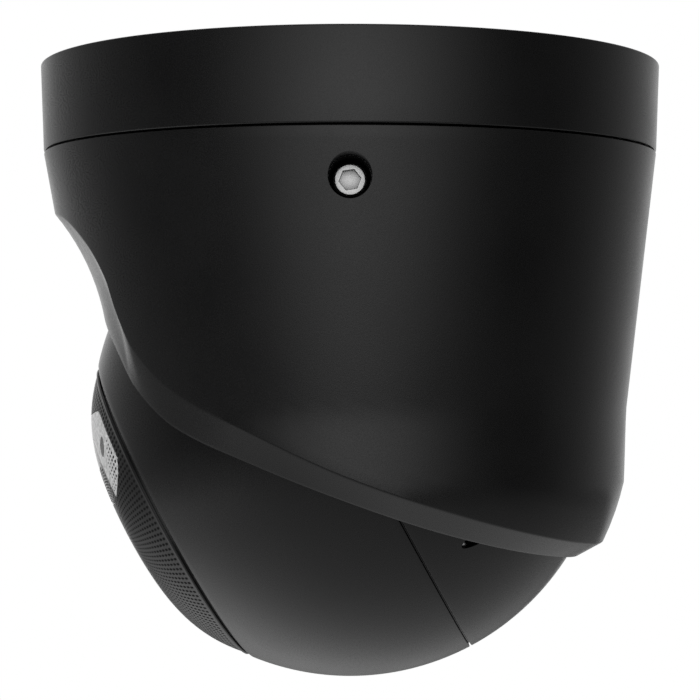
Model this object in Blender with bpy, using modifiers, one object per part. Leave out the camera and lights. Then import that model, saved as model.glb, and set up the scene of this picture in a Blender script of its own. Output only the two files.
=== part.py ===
"""Ceiling turret camera: a ball-shaped camera held in a hooded shroud under a round base.

Metres, +Z up. The origin is the centre of the ceiling face, the camera hangs below it,
the lens looks towards -Y and the lock screw faces +X.
Bodies: base (fixed), shroud (pans about Z), cable bush (tilts about X) and ball (rolls
about the optical axis).
"""

from math import acos, asin, atan2, cos, hypot, pi, radians, sin, sqrt

import bmesh
import bpy
from mathutils import Vector

MM = 0.001
GAP = 0.3 * MM              # clearance between neighbouring pieces
FINE = 0.00005              # merge distance of the modifiers

# Base band and its plate
BAND_TOP_RADIUS = 55.0 * MM
BAND_BOTTOM_RADIUS = 54.49 * MM
BAND_HEIGHT = 15.12 * MM
BAND_INSIDE = 52.3 * MM
BAND_OPENING = 46.5 * MM
BAND_FLOOR = 2.0 * MM
LEDGE_TOP = -1.8 * MM
LEDGE_BOTTOM = -3.6 * MM
LEDGE_INSIDE = 49.1 * MM
PLATE_RADIUS = 48.7 * MM
PLATE_THICKNESS = 3.0 * MM
LUG_RADIUS = 51.2 * MM
LUG_THICKNESS = 1.9 * MM
CABLE_HOLE_RADIUS = 10.0 * MM
CABLE_HOLE_Y = 18.0 * MM
CEILING_SCREW_CIRCLE = 36.0 * MM
CEILING_SCREW_HOLE = 2.25 * MM
HUB_INSIDE = 38.5 * MM
HUB_OUTSIDE = 40.5 * MM
HUB_FLANGE = 46.0 * MM
HUB_BOTTOM = -27.0 * MM
HUB_SCREW_CIRCLE = 43.4 * MM

# Shroud: a cone that turns upright and then follows a sphere about the ball's centre
SHROUD_TOP = -15.42 * MM
SHROUD_TOP_RADIUS = 54.47 * MM
CONE_SLOPE = 0.1153         # radius lost for each unit of height
FRONT_SLOPE = 0.068         # more slope at the front, fading out to the flanks
WAIST = -60.8 * MM
TUCK = -73.2 * MM
TUCK_RADIUS = 48.88 * MM
SHROUD_SPHERE = 50.1 * MM
WALL = 2.2 * MM
NECK_OUTSIDE = 46.2 * MM
NECK_INSIDE = 41.5 * MM
NECK_TOP = -12.0 * MM
SHROUD_CEILING = -17.4 * MM

# Side view of the shroud's lip, front to back, as (Y, Z): outer edge, then inner edge
LIP_OUTER = [(-53.0, -25.8), (-49.4, -27.3), (-44.4, -31.9), (-40.6, -38.0), (-38.5, -44.0),
             (-35.6, -49.9), (-28.8, -56.6), (-16.5, -62.9), (0.0, -70.3), (18.3, -76.6),
             (32.0, -80.7), (42.2, -83.4), (45.4, -84.0)]
LIP_INNER = [(-43.5, -44.1), (-39.9, -49.3), (-35.4, -56.4), (-28.6, -62.6), (-15.5, -68.4),
             (0.0, -74.4), (13.6, -79.2), (26.8, -83.1), (34.8, -85.1), (40.4, -86.5)]
LIP_SPHERE = 47.3 * MM      # inner edge of the lip
THROAT_SPHERE = 46.8 * MM   # behind the lip
LINER_POCKET = 47.7 * MM
LINER_MARGIN = radians(0.8)
COVE = 0.25                 # hollow of the lip under the hood, for each unit of extra width
PLAIN_LIP = 6.0 * MM

# Lock screw
LOCK_Z = -23.4 * MM
LOCK_RECESS_RADIUS = 3.5 * MM
LOCK_FACE_X = 48.15 * MM
LOCK_BOSS_RADIUS = 4.6 * MM
LOCK_BOSS_END = 44.0 * MM

# Ball and its seats
BALL_Z = -62.24 * MM
BALL_RADIUS = 45.94 * MM
OPTICAL_PITCH = radians(28.0)
LINER_INSIDE = 46.3 * MM
LINER_OUTSIDE = 47.3 * MM
LINER_TILT = radians(27.0)
LINER_LOW = radians(4.2)
LINER_HIGH = radians(13.0)
CLAMP_TOP = -28.6 * MM
CLAMP_BOTTOM = -30.4 * MM
CLAMP_OUTSIDE = 45.8 * MM
CLAMP_CIRCLE = 44.0 * MM

# Ball shells, along the optical axis from the ball's centre
SEAM_HALF = 0.18 * MM
SHELL_INSIDE = 42.4 * MM
SHELL_COLLAR = 38.5 * MM
SHELL_FRONT = 34.95 * MM
COVER_SEAT = 28.2 * MM
SEAL_INNER = 39.0 * MM
SEAL_OUTER = 41.2 * MM
SEAL_DEPTH = 1.5 * MM
POCKET_CIRCLE = 43.2 * MM
POCKET_RADIUS = 2.1 * MM
POCKET_FLOOR = -6.0 * MM
POCKET_ANGLES = (35.0, 145.0, 215.0, 325.0)
WELL_RADIUS = 11.0 * MM
WELL_FLOOR = -39.9 * MM
WELL_INSIDE = -37.9 * MM
BUSH_HOLE = 6.0 * MM

# Front cover: a shallow dome with a pill-shaped window above its middle
DOME_APEX = 44.07 * MM
DOME_DROP = 8.57 * MM
DOME_EDGE = 28.8 * MM
DOME_POWER = 3.37
COVER_RADIUS = 28.9 * MM
COVER_UNDERSIDE = 35.45 * MM
COVER_WALL = 1.8 * MM
WINDOW_Y = 14.2 * MM
WINDOW_HALF_HEIGHT = 7.8 * MM
WINDOW_HALF_LENGTH = 22.9 * MM
WINDOW_RING = 26.5 * MM     # the window's ends stop at this distance from the optical axis
LED_X = 15.9 * MM
LED_Y = 15.8 * MM


# ---------------------------------------------------------------- scene and materials

def clear_scene():
    for item in list(bpy.data.objects):
        bpy.data.objects.remove(item, do_unlink=True)


def new_collection(name):
    collection = bpy.data.collections.new(name)
    bpy.context.scene.collection.children.link(collection)
    return collection


def make_material(name, colour, roughness, metallic=0.0):
    material = bpy.data.materials.new(name)
    material.use_nodes = True
    shader = material.node_tree.nodes["Principled BSDF"]
    shader.inputs["Base Color"].default_value = (*colour, 1.0)
    shader.inputs["Roughness"].default_value = roughness
    shader.inputs["Metallic"].default_value = metallic
    material.diffuse_color = (*colour, 1.0)
    return material


clear_scene()
PARTS = new_collection("turret_camera")
CUTTERS = new_collection("cutters")

SATIN_BLACK = make_material("satin_black_paint", (0.020, 0.020, 0.021), 0.42)
BLACK_PLASTIC = make_material("black_plastic", (0.016, 0.016, 0.017), 0.55)
GLOSS_BLACK = make_material("gloss_black_window", (0.012, 0.012, 0.014), 0.08)
RUBBER = make_material("black_rubber", (0.02, 0.02, 0.02), 0.85)
STEEL = make_material("bright_steel", (0.72, 0.72, 0.72), 0.3, 1.0)
ZINC = make_material("zinc_steel", (0.55, 0.56, 0.58), 0.4, 1.0)
ALUMINIUM = make_material("cast_aluminium", (0.62, 0.63, 0.65), 0.45, 1.0)
NYLON = make_material("white_nylon", (0.78, 0.77, 0.72), 0.5)
BOARD = make_material("green_board", (0.02, 0.16, 0.07), 0.5)
CHIP = make_material("chip_black", (0.03, 0.03, 0.035), 0.45)
GLASS = make_material("lens_glass", (0.05, 0.04, 0.09), 0.03)
MIRROR_CUP = make_material("reflector_silver", (0.85, 0.85, 0.86), 0.15, 1.0)


# ---------------------------------------------------------------- building blocks

def add_object(name, mesh, material=None, parent=None, cutter=False):
    item = bpy.data.objects.new(name, mesh)
    (CUTTERS if cutter else PARTS).objects.link(item)
    if material is not None:
        mesh.materials.append(material)
    item.parent = parent
    if cutter:
        item.hide_render = True
        item.display_type = "WIRE"
    return item


def add_empty(name, location, pitch=0.0, parent=None):
    empty = bpy.data.objects.new(name, None)
    PARTS.objects.link(empty)
    empty.location = location
    empty.rotation_euler = (pitch, 0.0, 0.0)
    empty.parent = parent
    return empty


def turned(name, profile, steps, material=None, parent=None, location=(0, 0, 0), cutter=False):
    """A turned piece: the profile is (radius, height) and runs down the outer side."""
    mesh = bpy.data.meshes.new(name)
    points = [(radius, 0.0, height) for radius, height in profile]
    edges = [(i, i + 1) for i in range(len(points) - 1)]
    if profile[0][0] > 0.0:
        edges.append((len(points) - 1, 0))
    mesh.from_pydata(points, edges, [])
    item = add_object(name, mesh, material, parent, cutter)
    item.location = location
    screw = item.modifiers.new("turn", "SCREW")
    screw.axis = "Z"
    screw.steps = steps
    screw.render_steps = steps
    screw.use_merge_vertices = True
    screw.merge_threshold = FINE
    screw.use_smooth_shade = steps > 16
    return item


def drum(name, radius, low, high, steps, material=None, parent=None, location=(0, 0, 0), cutter=False):
    profile = [(0.0, high), (radius, high), (radius, low), (0.0, low)]
    return turned(name, profile, steps, material, parent, location, cutter)


def tube(name, inside, outside, low, high, steps, material, parent=None, location=(0, 0, 0)):
    profile = [(outside, high), (outside, low), (inside, low), (inside, high)]
    return turned(name, profile, steps, material, parent, location)


def block(name, size, centre, material=None, parent=None, turn=0.0, cutter=False):
    """A box of the given size, its centre placed before it turns about Z by the given angle."""
    mesh = bpy.data.meshes.new(name)
    builder = bmesh.new()
    bmesh.ops.create_cube(builder, size=1.0)
    bmesh.ops.scale(builder, vec=size, verts=builder.verts)
    bmesh.ops.translate(builder, vec=centre, verts=builder.verts)
    builder.to_mesh(mesh)
    builder.free()
    item = add_object(name, mesh, material, parent, cutter)
    item.rotation_euler = (0.0, 0.0, turn)
    return item


def pill(name, half_length, half_height, low, high, material=None, parent=None, cutter=False,
         corner_steps=7):
    """An upright bar with a pill-shaped outline, centred on the window."""
    mesh = bpy.data.meshes.new(name)
    builder = bmesh.new()
    bmesh.ops.create_cube(builder, size=2.0)
    bmesh.ops.scale(builder, vec=(half_length, half_height, (high - low) / 2), verts=builder.verts)
    bmesh.ops.translate(builder, vec=(0.0, WINDOW_Y, (high + low) / 2), verts=builder.verts)
    upright = [e for e in builder.edges if abs(e.verts[0].co.z - e.verts[1].co.z) > 0.5 * (high - low)]
    bmesh.ops.bevel(builder, geom=upright, offset=half_height - 0.02 * MM, segments=corner_steps,
                    profile=0.5, affect="EDGES")
    builder.to_mesh(mesh)
    builder.free()
    return add_object(name, mesh, material, parent, cutter)


def boolean(item, other, operation):
    modifier = item.modifiers.new(operation.lower(), "BOOLEAN")
    modifier.operation = operation
    modifier.solver = "EXACT"
    modifier.object = other


def cut(item, *cutters):
    for cutter in cutters:
        boolean(item, cutter, "DIFFERENCE")


def polar(radius, angle, height=0.0):
    return (radius * cos(angle), radius * sin(angle), height)


def arc_points(radius, start, end, count, centre=0.0):
    """Points (radius from the axis, height) along a sphere's outline, by elevation angle."""
    angles = [start + (end - start) * i / (count - 1) for i in range(count)]
    return [(radius * cos(a), centre + radius * sin(a)) for a in angles]


def plain_screw(name, head, shank, material, parent, location, flip=False):
    """A screw with its head upwards; head and shank are (radius, length) pairs."""
    head_radius, head_height = head
    shank_radius, shank_length = shank
    profile = [(0.0, head_height), (head_radius, head_height), (head_radius, 0.0), (shank_radius, 0.0),
               (shank_radius, -shank_length), (0.0, -shank_length)]
    item = turned(name, profile, 8, material, parent, location)
    if flip:
        item.rotation_euler = (pi, 0.0, 0.0)
    return item


def socket_screw(name, head, shank, socket, material, parent, location, rotation):
    """A screw with a six-sided socket in its head, which faces local +Z."""
    head_radius, head_height = head
    shank_radius, shank_length = shank
    chamfer = 0.25 * MM
    profile = [(0.0, 0.0), (head_radius - chamfer, 0.0), (head_radius, -chamfer),
               (head_radius, -head_height), (shank_radius, -head_height),
               (shank_radius, -head_height - shank_length), (0.0, -head_height - shank_length)]
    item = turned(name, profile, 14, material, parent, location)
    item.rotation_euler = rotation
    across_flats, depth = socket
    hexagon = drum(name + "_socket", across_flats / sqrt(3.0), -depth, 1 * MM, 6,
                   parent=parent, location=location, cutter=True)
    hexagon.rotation_euler = rotation
    cut(item, hexagon)
    return item


# ---------------------------------------------------------------- shroud surface

def along(points, value):
    """Smooth monotone curve through (x, y) points, read at x = value."""
    last = len(points) - 1
    value = min(max(value, points[0][0]), points[last][0])
    i = 0
    while i < last - 1 and value > points[i + 1][0]:
        i += 1
    widths = [points[k + 1][0] - points[k][0] for k in range(last)]
    slopes = [(points[k + 1][1] - points[k][1]) / widths[k] for k in range(last)]

    def tangent(k):
        if k == 0:
            return slopes[0]
        if k == last:
            return slopes[last - 1]
        before, after = slopes[k - 1], slopes[k]
        if before * after <= 0.0:
            return 0.0
        return 2.0 * before * after / (before + after)

    t = (value - points[i][0]) / widths[i]
    return ((2 * t ** 3 - 3 * t ** 2 + 1) * points[i][1]
            + (t ** 3 - 2 * t ** 2 + t) * widths[i] * tangent(i)
            + (3 * t ** 2 - 2 * t ** 3) * points[i + 1][1]
            + (t ** 3 - t ** 2) * widths[i] * tangent(i + 1))


LIP_OUTER = [(y * MM, z * MM) for y, z in LIP_OUTER]
LIP_INNER = [(y * MM, z * MM) for y, z in LIP_INNER]


def outside_radius(height, angle):
    """The shroud's outer radius; angle runs from +X, so the front is at -90 degrees."""
    front = max(0.0, -sin(angle)) ** 2
    drop = SHROUD_TOP - max(height, WAIST)
    radius = SHROUD_TOP_RADIUS - (CONE_SLOPE + FRONT_SLOPE * front) * drop
    if height < WAIST:
        down = min((WAIST - height) / (WAIST - TUCK), 1.0)
        radius += (TUCK_RADIUS - radius) * down
    if height < TUCK:
        radius = sqrt(SHROUD_SPHERE ** 2 - (height - BALL_Z) ** 2)
    return radius


def lip_outer(angle):
    """Radius and height of the lip's outer edge."""
    height = LIP_OUTER[len(LIP_OUTER) // 2][1]
    for _ in range(40):
        radius = outside_radius(height, angle)
        height += 0.5 * (along(LIP_OUTER, radius * sin(angle)) - height)
    return outside_radius(height, angle), height


def lip_inner(angle):
    """Radius and height of the lip's inner edge, on a sphere about the ball."""
    height = BALL_Z
    for _ in range(40):
        radius = sqrt(LIP_SPHERE ** 2 - (height - BALL_Z) ** 2)
        height += 0.5 * (along(LIP_INNER, radius * sin(angle)) - height)
    return sqrt(LIP_SPHERE ** 2 - (height - BALL_Z) ** 2), height


def liner_start(angle):
    """Elevation at which the tilted liner begins, seen from the ball's centre."""
    a = sin(angle) * sin(LINER_TILT)
    b = cos(LINER_TILT)
    return asin(sin(LINER_LOW - LINER_MARGIN) / hypot(a, b)) - atan2(a, b)


def elevation(point):
    return atan2(point[1] - BALL_Z, point[0])


def reach(outline, angle):
    """Distance from the ball's centre to an outline of (radius, height) points at an elevation."""
    for near, far in zip(outline, outline[1:]):
        low, high = elevation(near), elevation(far)
        if low <= angle <= high:
            t = (angle - low) / max(high - low, 1e-9)
            radius = near[0] + t * (far[0] - near[0])
            height = near[1] + t * (far[1] - near[1])
            return hypot(radius, height - BALL_Z)
    return hypot(outline[-1][0], outline[-1][1] - BALL_Z)


def lip_curve(outer, inner, count):
    """The lip from its outer to its inner edge: flat where narrow, a cove under the hood."""
    width = hypot(outer[0] - inner[0], outer[1] - inner[1])
    hollow = COVE * max(0.0, width - PLAIN_LIP)
    across = ((inner[0] - outer[0]) / width, (inner[1] - outer[1]) / width)
    middle = ((outer[0] + inner[0]) / 2 + hollow * across[1],
              (outer[1] + inner[1]) / 2 - hollow * across[0])
    points = []
    for i in range(count + 1):
        t = i / count
        points.append(tuple((1 - t) ** 2 * outer[k] + 2 * t * (1 - t) * middle[k] + t * t * inner[k]
                            for k in (0, 1)))
    return points


def shroud_section(angle, wall_rows, lip_rows, seat_rows, inner_rows):
    """One closed outline (radius, height) of the shroud in the half-plane at this angle."""
    outer = lip_outer(angle)
    inner = lip_inner(angle)
    wall = []
    for i in range(wall_rows + 1):
        height = SHROUD_TOP + (outer[1] - SHROUD_TOP) * i / wall_rows
        wall.append((outside_radius(height, angle), height))
    lip = lip_curve(outer, inner, lip_rows)
    outline = list(reversed(wall + lip[1:]))
    edge = elevation(inner) + radians(1.2)
    step = liner_start(angle)
    top_point = (outside_radius(SHROUD_CEILING, angle) - WALL, SHROUD_CEILING)
    top = elevation(top_point)
    inside = [(THROAT_SPHERE, edge + (step - edge) * i / seat_rows) for i in range(seat_rows + 1)]
    inside.append((LINER_POCKET, step + radians(0.05)))
    shelf = step + LINER_HIGH - LINER_LOW + 2 * LINER_MARGIN
    stops = [step + (shelf - step) * i / 2 for i in (1, 2)]
    stops += [shelf + (top - shelf) * i / inner_rows for i in range(1, inner_rows)]
    for at in stops:
        inside.append((max(LINER_POCKET, reach(outline, at) - WALL), at))
    hollow = [(distance * cos(at), BALL_Z + distance * sin(at)) for distance, at in inside]
    neck = [(NECK_INSIDE, SHROUD_CEILING), (NECK_INSIDE, NECK_TOP), (NECK_OUTSIDE, NECK_TOP),
            (NECK_OUTSIDE, SHROUD_TOP)]
    return wall + lip[1:] + hollow + [top_point] + neck


def even_angles(count):
    """Angles that space the sections evenly along the lip, where it dives under the hood."""
    fine = 1440
    angles = [-pi / 2 + 2 * pi * i / fine for i in range(fine + 1)]
    edge = [Vector(polar(lip_outer(a)[0], a, lip_outer(a)[1])) for a in angles]
    lengths = [0.0]
    for before, after in zip(edge, edge[1:]):
        lengths.append(lengths[-1] + (after - before).length)
    chosen = []
    k = 0
    for i in range(count):
        target = lengths[-1] * i / count
        while lengths[k + 1] < target:
            k += 1
        share = (target - lengths[k]) / (lengths[k + 1] - lengths[k])
        chosen.append(angles[k] + share * (angles[k + 1] - angles[k]))
    return chosen


def loft_ring(name, angles, sections, material, parent):
    """A closed ring through outlines that change from angle to angle."""
    mesh = bpy.data.meshes.new(name)
    builder = bmesh.new()
    rings = [[builder.verts.new(polar(r, angle, z)) for r, z in outline]
             for angle, outline in zip(angles, sections)]
    for i, ring in enumerate(rings):
        following = rings[(i + 1) % len(rings)]
        for k in range(len(ring)):
            j = (k + 1) % len(ring)
            builder.faces.new((ring[k], following[k], following[j], ring[j]))
    bmesh.ops.recalc_face_normals(builder, faces=builder.faces)
    builder.to_mesh(mesh)
    builder.free()
    mesh.shade_smooth()
    mesh.set_sharp_from_angle(angle=radians(35))
    return add_object(name, mesh, material, parent)


# ---------------------------------------------------------------- base

def make_base():
    ledge = [(BAND_INSIDE, LEDGE_BOTTOM), (LEDGE_INSIDE, LEDGE_BOTTOM), (LEDGE_INSIDE, LEDGE_TOP),
             (BAND_INSIDE, LEDGE_TOP)]
    floor_top = -BAND_HEIGHT + BAND_FLOOR
    edge = 0.35 * MM
    profile = [(BAND_INSIDE, 0.0), (BAND_TOP_RADIUS - edge, 0.0), (BAND_TOP_RADIUS, -edge),
               (BAND_BOTTOM_RADIUS, -BAND_HEIGHT + edge), (BAND_BOTTOM_RADIUS - edge, -BAND_HEIGHT),
               (BAND_OPENING, -BAND_HEIGHT), (BAND_OPENING, floor_top), (BAND_INSIDE, floor_top)]
    band = turned("base_band", profile + ledge, 40, SATIN_BLACK)

    lug_top = LEDGE_BOTTOM - GAP
    lug_bottom = lug_top - LUG_THICKNESS
    plate_profile = [(0.0, 0.0), (PLATE_RADIUS, 0.0), (PLATE_RADIUS, lug_top), (LUG_RADIUS, lug_top),
                     (LUG_RADIUS, lug_bottom), (HUB_FLANGE + 1 * MM, lug_bottom),
                     (HUB_FLANGE + 1 * MM, -PLATE_THICKNESS), (0.0, -PLATE_THICKNESS)]
    plate = turned("mounting_plate", plate_profile, 32, ZINC)
    for i in range(3):
        turn = radians(90 + 120 * i)
        notch = block(f"ledge_notch_{i + 1}", (6 * MM, 17 * MM, 2.4 * MM), (50 * MM, 0, -2.7 * MM),
                      turn=turn, cutter=True)
        cut(band, notch)
        clearance = block(f"lug_clearance_{i + 1}", (40 * MM, 120 * MM, 4 * MM),
                          (49 * MM, 0, -PLATE_THICKNESS - 2.05 * MM), turn=turn, cutter=True)
        cut(plate, clearance)
        spot = polar(CEILING_SCREW_CIRCLE, radians(30 + 120 * i))
        hole = drum(f"ceiling_hole_{i + 1}", CEILING_SCREW_HOLE, -4 * MM, 1 * MM, 14,
                    location=spot, cutter=True)
        cut(plate, hole)
    cable_spot = (0.0, CABLE_HOLE_Y, 0.0)
    cut(plate, drum("cable_hole", CABLE_HOLE_RADIUS, -4 * MM, 1 * MM, 24, location=cable_spot, cutter=True))

    tube("ceiling_gasket", LEDGE_INSIDE + 0.2 * MM, BAND_INSIDE - GAP, -1.5 * MM, 0.0, 32, RUBBER)
    grommet_body = CABLE_HOLE_RADIUS - GAP
    grommet = [(grommet_body, 0.0), (grommet_body, -3.3 * MM), (12.5 * MM, -3.3 * MM),
               (12.5 * MM, -5.0 * MM), (4.5 * MM, -5.0 * MM), (4.5 * MM, 0.0)]
    turned("cable_grommet", grommet, 18, RUBBER, location=cable_spot)

    flange_top = -PLATE_THICKNESS - GAP
    flange_bottom = flange_top - 2 * MM
    hub_profile = [(HUB_FLANGE, flange_top), (HUB_FLANGE, flange_bottom), (HUB_OUTSIDE, flange_bottom),
                   (HUB_OUTSIDE, HUB_BOTTOM), (HUB_INSIDE, HUB_BOTTOM), (HUB_INSIDE, flange_top)]
    hub = turned("pan_hub", hub_profile, 32, ALUMINIUM)
    for i in range(3):
        spot = polar(HUB_SCREW_CIRCLE, radians(-30 + 120 * i))
        hole = drum(f"hub_hole_{i + 1}", 1.4 * MM, -8 * MM, -0.8 * MM, 10, location=spot, cutter=True)
        cut(hub, hole)
        cut(plate, hole)
        head_seat = (spot[0], spot[1], flange_bottom - GAP)
        plain_screw(f"hub_screw_{i + 1}", (2.0 * MM, 1.4 * MM), (1.0 * MM, 4.4 * MM), ZINC, None,
                    head_seat, flip=True)
    washer_low = floor_top + GAP
    tube("pan_washer", BAND_OPENING + GAP, 51.0 * MM, washer_low, washer_low + 0.8 * MM, 32, NYLON)


# ---------------------------------------------------------------- shroud and what turns with it

def make_shroud(pan_axis):
    angles = even_angles(60)
    sections = [shroud_section(a, wall_rows=6, lip_rows=3, seat_rows=2, inner_rows=3) for a in angles]
    shroud = loft_ring("shroud_shell", angles, sections, SATIN_BLACK, pan_axis)

    make_retaining_ring(pan_axis, shroud)
    make_clamp(pan_axis, shroud)
    make_lock(pan_axis, shroud)
    make_liner(pan_axis)


def make_lock(pan_axis, shroud):
    """The lock screw in its recess, and the pad that it presses on the hub."""
    boss = drum("lock_boss", LOCK_BOSS_RADIUS, LOCK_BOSS_END, 52.4 * MM, 20, cutter=True)
    recess = drum("lock_recess", LOCK_RECESS_RADIUS, LOCK_FACE_X - 2.6 * MM, 60 * MM, 24, cutter=True)
    thread = drum("lock_thread", 1.8 * MM, 40 * MM, 50 * MM, 12, cutter=True)
    for item in (boss, recess, thread):
        item.location = (0.0, 0.0, LOCK_Z)
        item.rotation_euler = (0.0, pi / 2, 0.0)
    boolean(shroud, boss, "UNION")
    cut(shroud, recess, thread)
    socket_screw("lock_screw", (2.4 * MM, 2.3 * MM), (1.45 * MM, 3.6 * MM), (3.0 * MM, 1.6 * MM),
                 STEEL, pan_axis, (LOCK_FACE_X, 0.0, LOCK_Z), (0.0, pi / 2, 0.0))
    pad = drum("lock_pad", 1.4 * MM, HUB_OUTSIDE + GAP, LOCK_FACE_X - 6.2 * MM, 12, NYLON, pan_axis,
               (0.0, 0.0, LOCK_Z))
    pad.rotation_euler = (0.0, pi / 2, 0.0)


def make_retaining_ring(pan_axis, shroud):
    """The ring above the base band's floor, which the shroud hangs from."""
    ring_low = NECK_TOP + GAP
    ring_high = ring_low + 2 * MM
    ring = tube("retaining_ring", NECK_INSIDE + GAP, 50.5 * MM, ring_low, ring_high, 32, ALUMINIUM, pan_axis)
    for i in range(3):
        spot = polar(43.8 * MM, radians(120 * i), 0.0)
        hole = drum(f"ring_hole_{i + 1}", 1.35 * MM, SHROUD_CEILING + 0.5 * MM, ring_high + 1 * MM, 10,
                    location=spot, cutter=True)
        cut(ring, hole)
        cut(shroud, hole)
        plain_screw(f"retaining_screw_{i + 1}", (1.9 * MM, 1.3 * MM), (1.0 * MM, 6.6 * MM), ZINC,
                    pan_axis, (spot[0], spot[1], ring_high + GAP))


def make_clamp(pan_axis, shroud):
    """The ring that presses the ball down, hung on three posts from the shroud's ceiling."""
    seat_high = asin((CLAMP_TOP - BALL_Z) / LINER_INSIDE)
    seat_low = asin((CLAMP_BOTTOM - BALL_Z) / LINER_INSIDE)
    seat = arc_points(LINER_INSIDE, seat_low, seat_high, 3, BALL_Z)
    profile = [(CLAMP_OUTSIDE, CLAMP_TOP), (CLAMP_OUTSIDE, CLAMP_BOTTOM)] + seat
    clamp = turned("ball_clamp_ring", profile, 36, BLACK_PLASTIC, pan_axis)
    cable_slot = block("cable_slot", (11 * MM, 14 * MM, 6 * MM), (0, 35 * MM, CLAMP_TOP), cutter=True)
    cut(clamp, cable_slot)
    for i in range(3):
        spot = polar(CLAMP_CIRCLE, radians(60 + 120 * i))
        hole = drum(f"clamp_hole_{i + 1}", 1.35 * MM, CLAMP_BOTTOM - 1 * MM, -13.4 * MM, 10,
                    location=spot, cutter=True)
        cut(clamp, hole)
        cut(shroud, hole)
        tube(f"clamp_post_{i + 1}", 1.35 * MM, 2.2 * MM, CLAMP_TOP + GAP, SHROUD_CEILING - GAP, 12,
             ZINC, pan_axis, spot)
        plain_screw(f"clamp_screw_{i + 1}", (1.8 * MM, 1.3 * MM), (0.95 * MM, 16.2 * MM), ZINC, pan_axis,
                    (spot[0], spot[1], CLAMP_BOTTOM - GAP), flip=True)


def make_liner(pan_axis):
    """Friction liner: part of a sphere about a tilted axis, open where the lens swings up."""
    inner = arc_points(LINER_INSIDE, LINER_LOW, LINER_HIGH, 3)
    outer = arc_points(LINER_OUTSIDE, LINER_HIGH, LINER_LOW, 3)
    liner = turned("ball_liner", outer + inner, 36, NYLON, pan_axis, (0.0, 0.0, BALL_Z))
    liner.rotation_euler = (-LINER_TILT, 0.0, 0.0)
    opening = block("liner_opening", (56 * MM, 40 * MM, 30 * MM), (0, -44 * MM, 8 * MM), cutter=True)
    opening.location = (0.0, 0.0, BALL_Z)
    opening.rotation_euler = (-LINER_TILT, 0.0, 0.0)
    cut(liner, opening)


# ---------------------------------------------------------------- ball

def sphere_elevation(height, radius):
    return asin(height / radius)


def make_shells(ball):
    outer_front = arc_points(BALL_RADIUS, sphere_elevation(SHELL_FRONT, BALL_RADIUS),
                             sphere_elevation(SEAM_HALF, BALL_RADIUS), 8)
    collar_top = sqrt(SHELL_INSIDE ** 2 - (SHELL_COLLAR - 0.5 * MM) ** 2)
    flange_back = 31.5 * MM
    inner_front = arc_points(SHELL_INSIDE, sphere_elevation(collar_top, SHELL_INSIDE),
                             sphere_elevation(flange_back, SHELL_INSIDE), 3)
    step = 34.5 * MM
    front_profile = outer_front + [
        (SEAL_OUTER, SEAM_HALF), (SEAL_OUTER, SEAL_DEPTH), (SEAL_INNER, SEAL_DEPTH),
        (SEAL_INNER, SEAM_HALF), (SHELL_COLLAR, SEAM_HALF), (SHELL_COLLAR, 10 * MM),
        (step, 10 * MM), (step, 14 * MM)] + inner_front + [
        (25.5 * MM, flange_back), (25.5 * MM, 33 * MM), (COVER_SEAT, 33 * MM), (COVER_SEAT, SHELL_FRONT)]
    front = turned("ball_front_shell", front_profile, 36, SATIN_BLACK, ball)

    well_edge = acos(WELL_RADIUS / BALL_RADIUS)
    outer_rear = arc_points(BALL_RADIUS, -sphere_elevation(SEAM_HALF, BALL_RADIUS), -well_edge, 9)
    well_back = 13 * MM
    inner_rear = arc_points(SHELL_INSIDE, -acos(well_back / SHELL_INSIDE),
                            -acos(SHELL_COLLAR / SHELL_INSIDE), 4)
    rear_profile = outer_rear + [
        (WELL_RADIUS, WELL_FLOOR), (BUSH_HOLE, WELL_FLOOR), (BUSH_HOLE, WELL_INSIDE),
        (well_back, WELL_INSIDE)] + inner_rear + [
        (SHELL_COLLAR, -SEAM_HALF), (SEAL_INNER, -SEAM_HALF), (SEAL_INNER, -SEAL_DEPTH),
        (SEAL_OUTER, -SEAL_DEPTH), (SEAL_OUTER, -SEAM_HALF)]
    rear = turned("ball_rear_shell", rear_profile, 36, SATIN_BLACK, ball)

    for i, angle in enumerate(POCKET_ANGLES):
        spot = polar(POCKET_CIRCLE, radians(angle))
        pocket = drum(f"screw_pocket_{i + 1}", POCKET_RADIUS, -30 * MM, POCKET_FLOOR, 14,
                      parent=ball, location=spot, cutter=True)
        hole = drum(f"shell_hole_{i + 1}", 1.1 * MM, POCKET_FLOOR - 1 * MM, 7 * MM, 10,
                    parent=ball, location=spot, cutter=True)
        cut(rear, pocket, hole)
        cut(front, hole)
        place = (spot[0], spot[1], POCKET_FLOOR - GAP - 1.3 * MM)
        socket_screw(f"shell_screw_{i + 1}", (1.7 * MM, 1.3 * MM), (0.8 * MM, 11.5 * MM),
                     (1.5 * MM, 0.8 * MM), STEEL, ball, place, (pi, 0.0, 0.0))
    rim = SEAL_DEPTH - GAP
    tube("shell_seal", SEAL_INNER + GAP, SEAL_OUTER - GAP, -rim, rim, 28, RUBBER, ball)
    return front


def dome_height(radius):
    return DOME_APEX - DOME_DROP * (radius / DOME_EDGE) ** DOME_POWER


def dome_slab_profile(wall):
    outer = [(r * MM, dome_height(r * MM)) for r in (0.0, 8.0, 14.0, 19.0, 23.0, 26.0, 28.1)]
    inner = [(r * MM, dome_height(r * MM) - wall) for r in (27.8, 24.5, 19.0, 12.0, 0.0)]
    return outer, inner


def window_prism(name, margin, ball):
    """The window's outline as a tall prism: a pill whose ends stop at a circle."""
    prism = pill(name, WINDOW_HALF_LENGTH + margin, WINDOW_HALF_HEIGHT + margin, 30 * MM, 50 * MM,
                 parent=ball, cutter=True)
    boolean(prism, drum(name + "_ends", WINDOW_RING + margin, 29 * MM, 51 * MM, 48, parent=ball,
                        cutter=True), "INTERSECT")
    return prism


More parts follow.
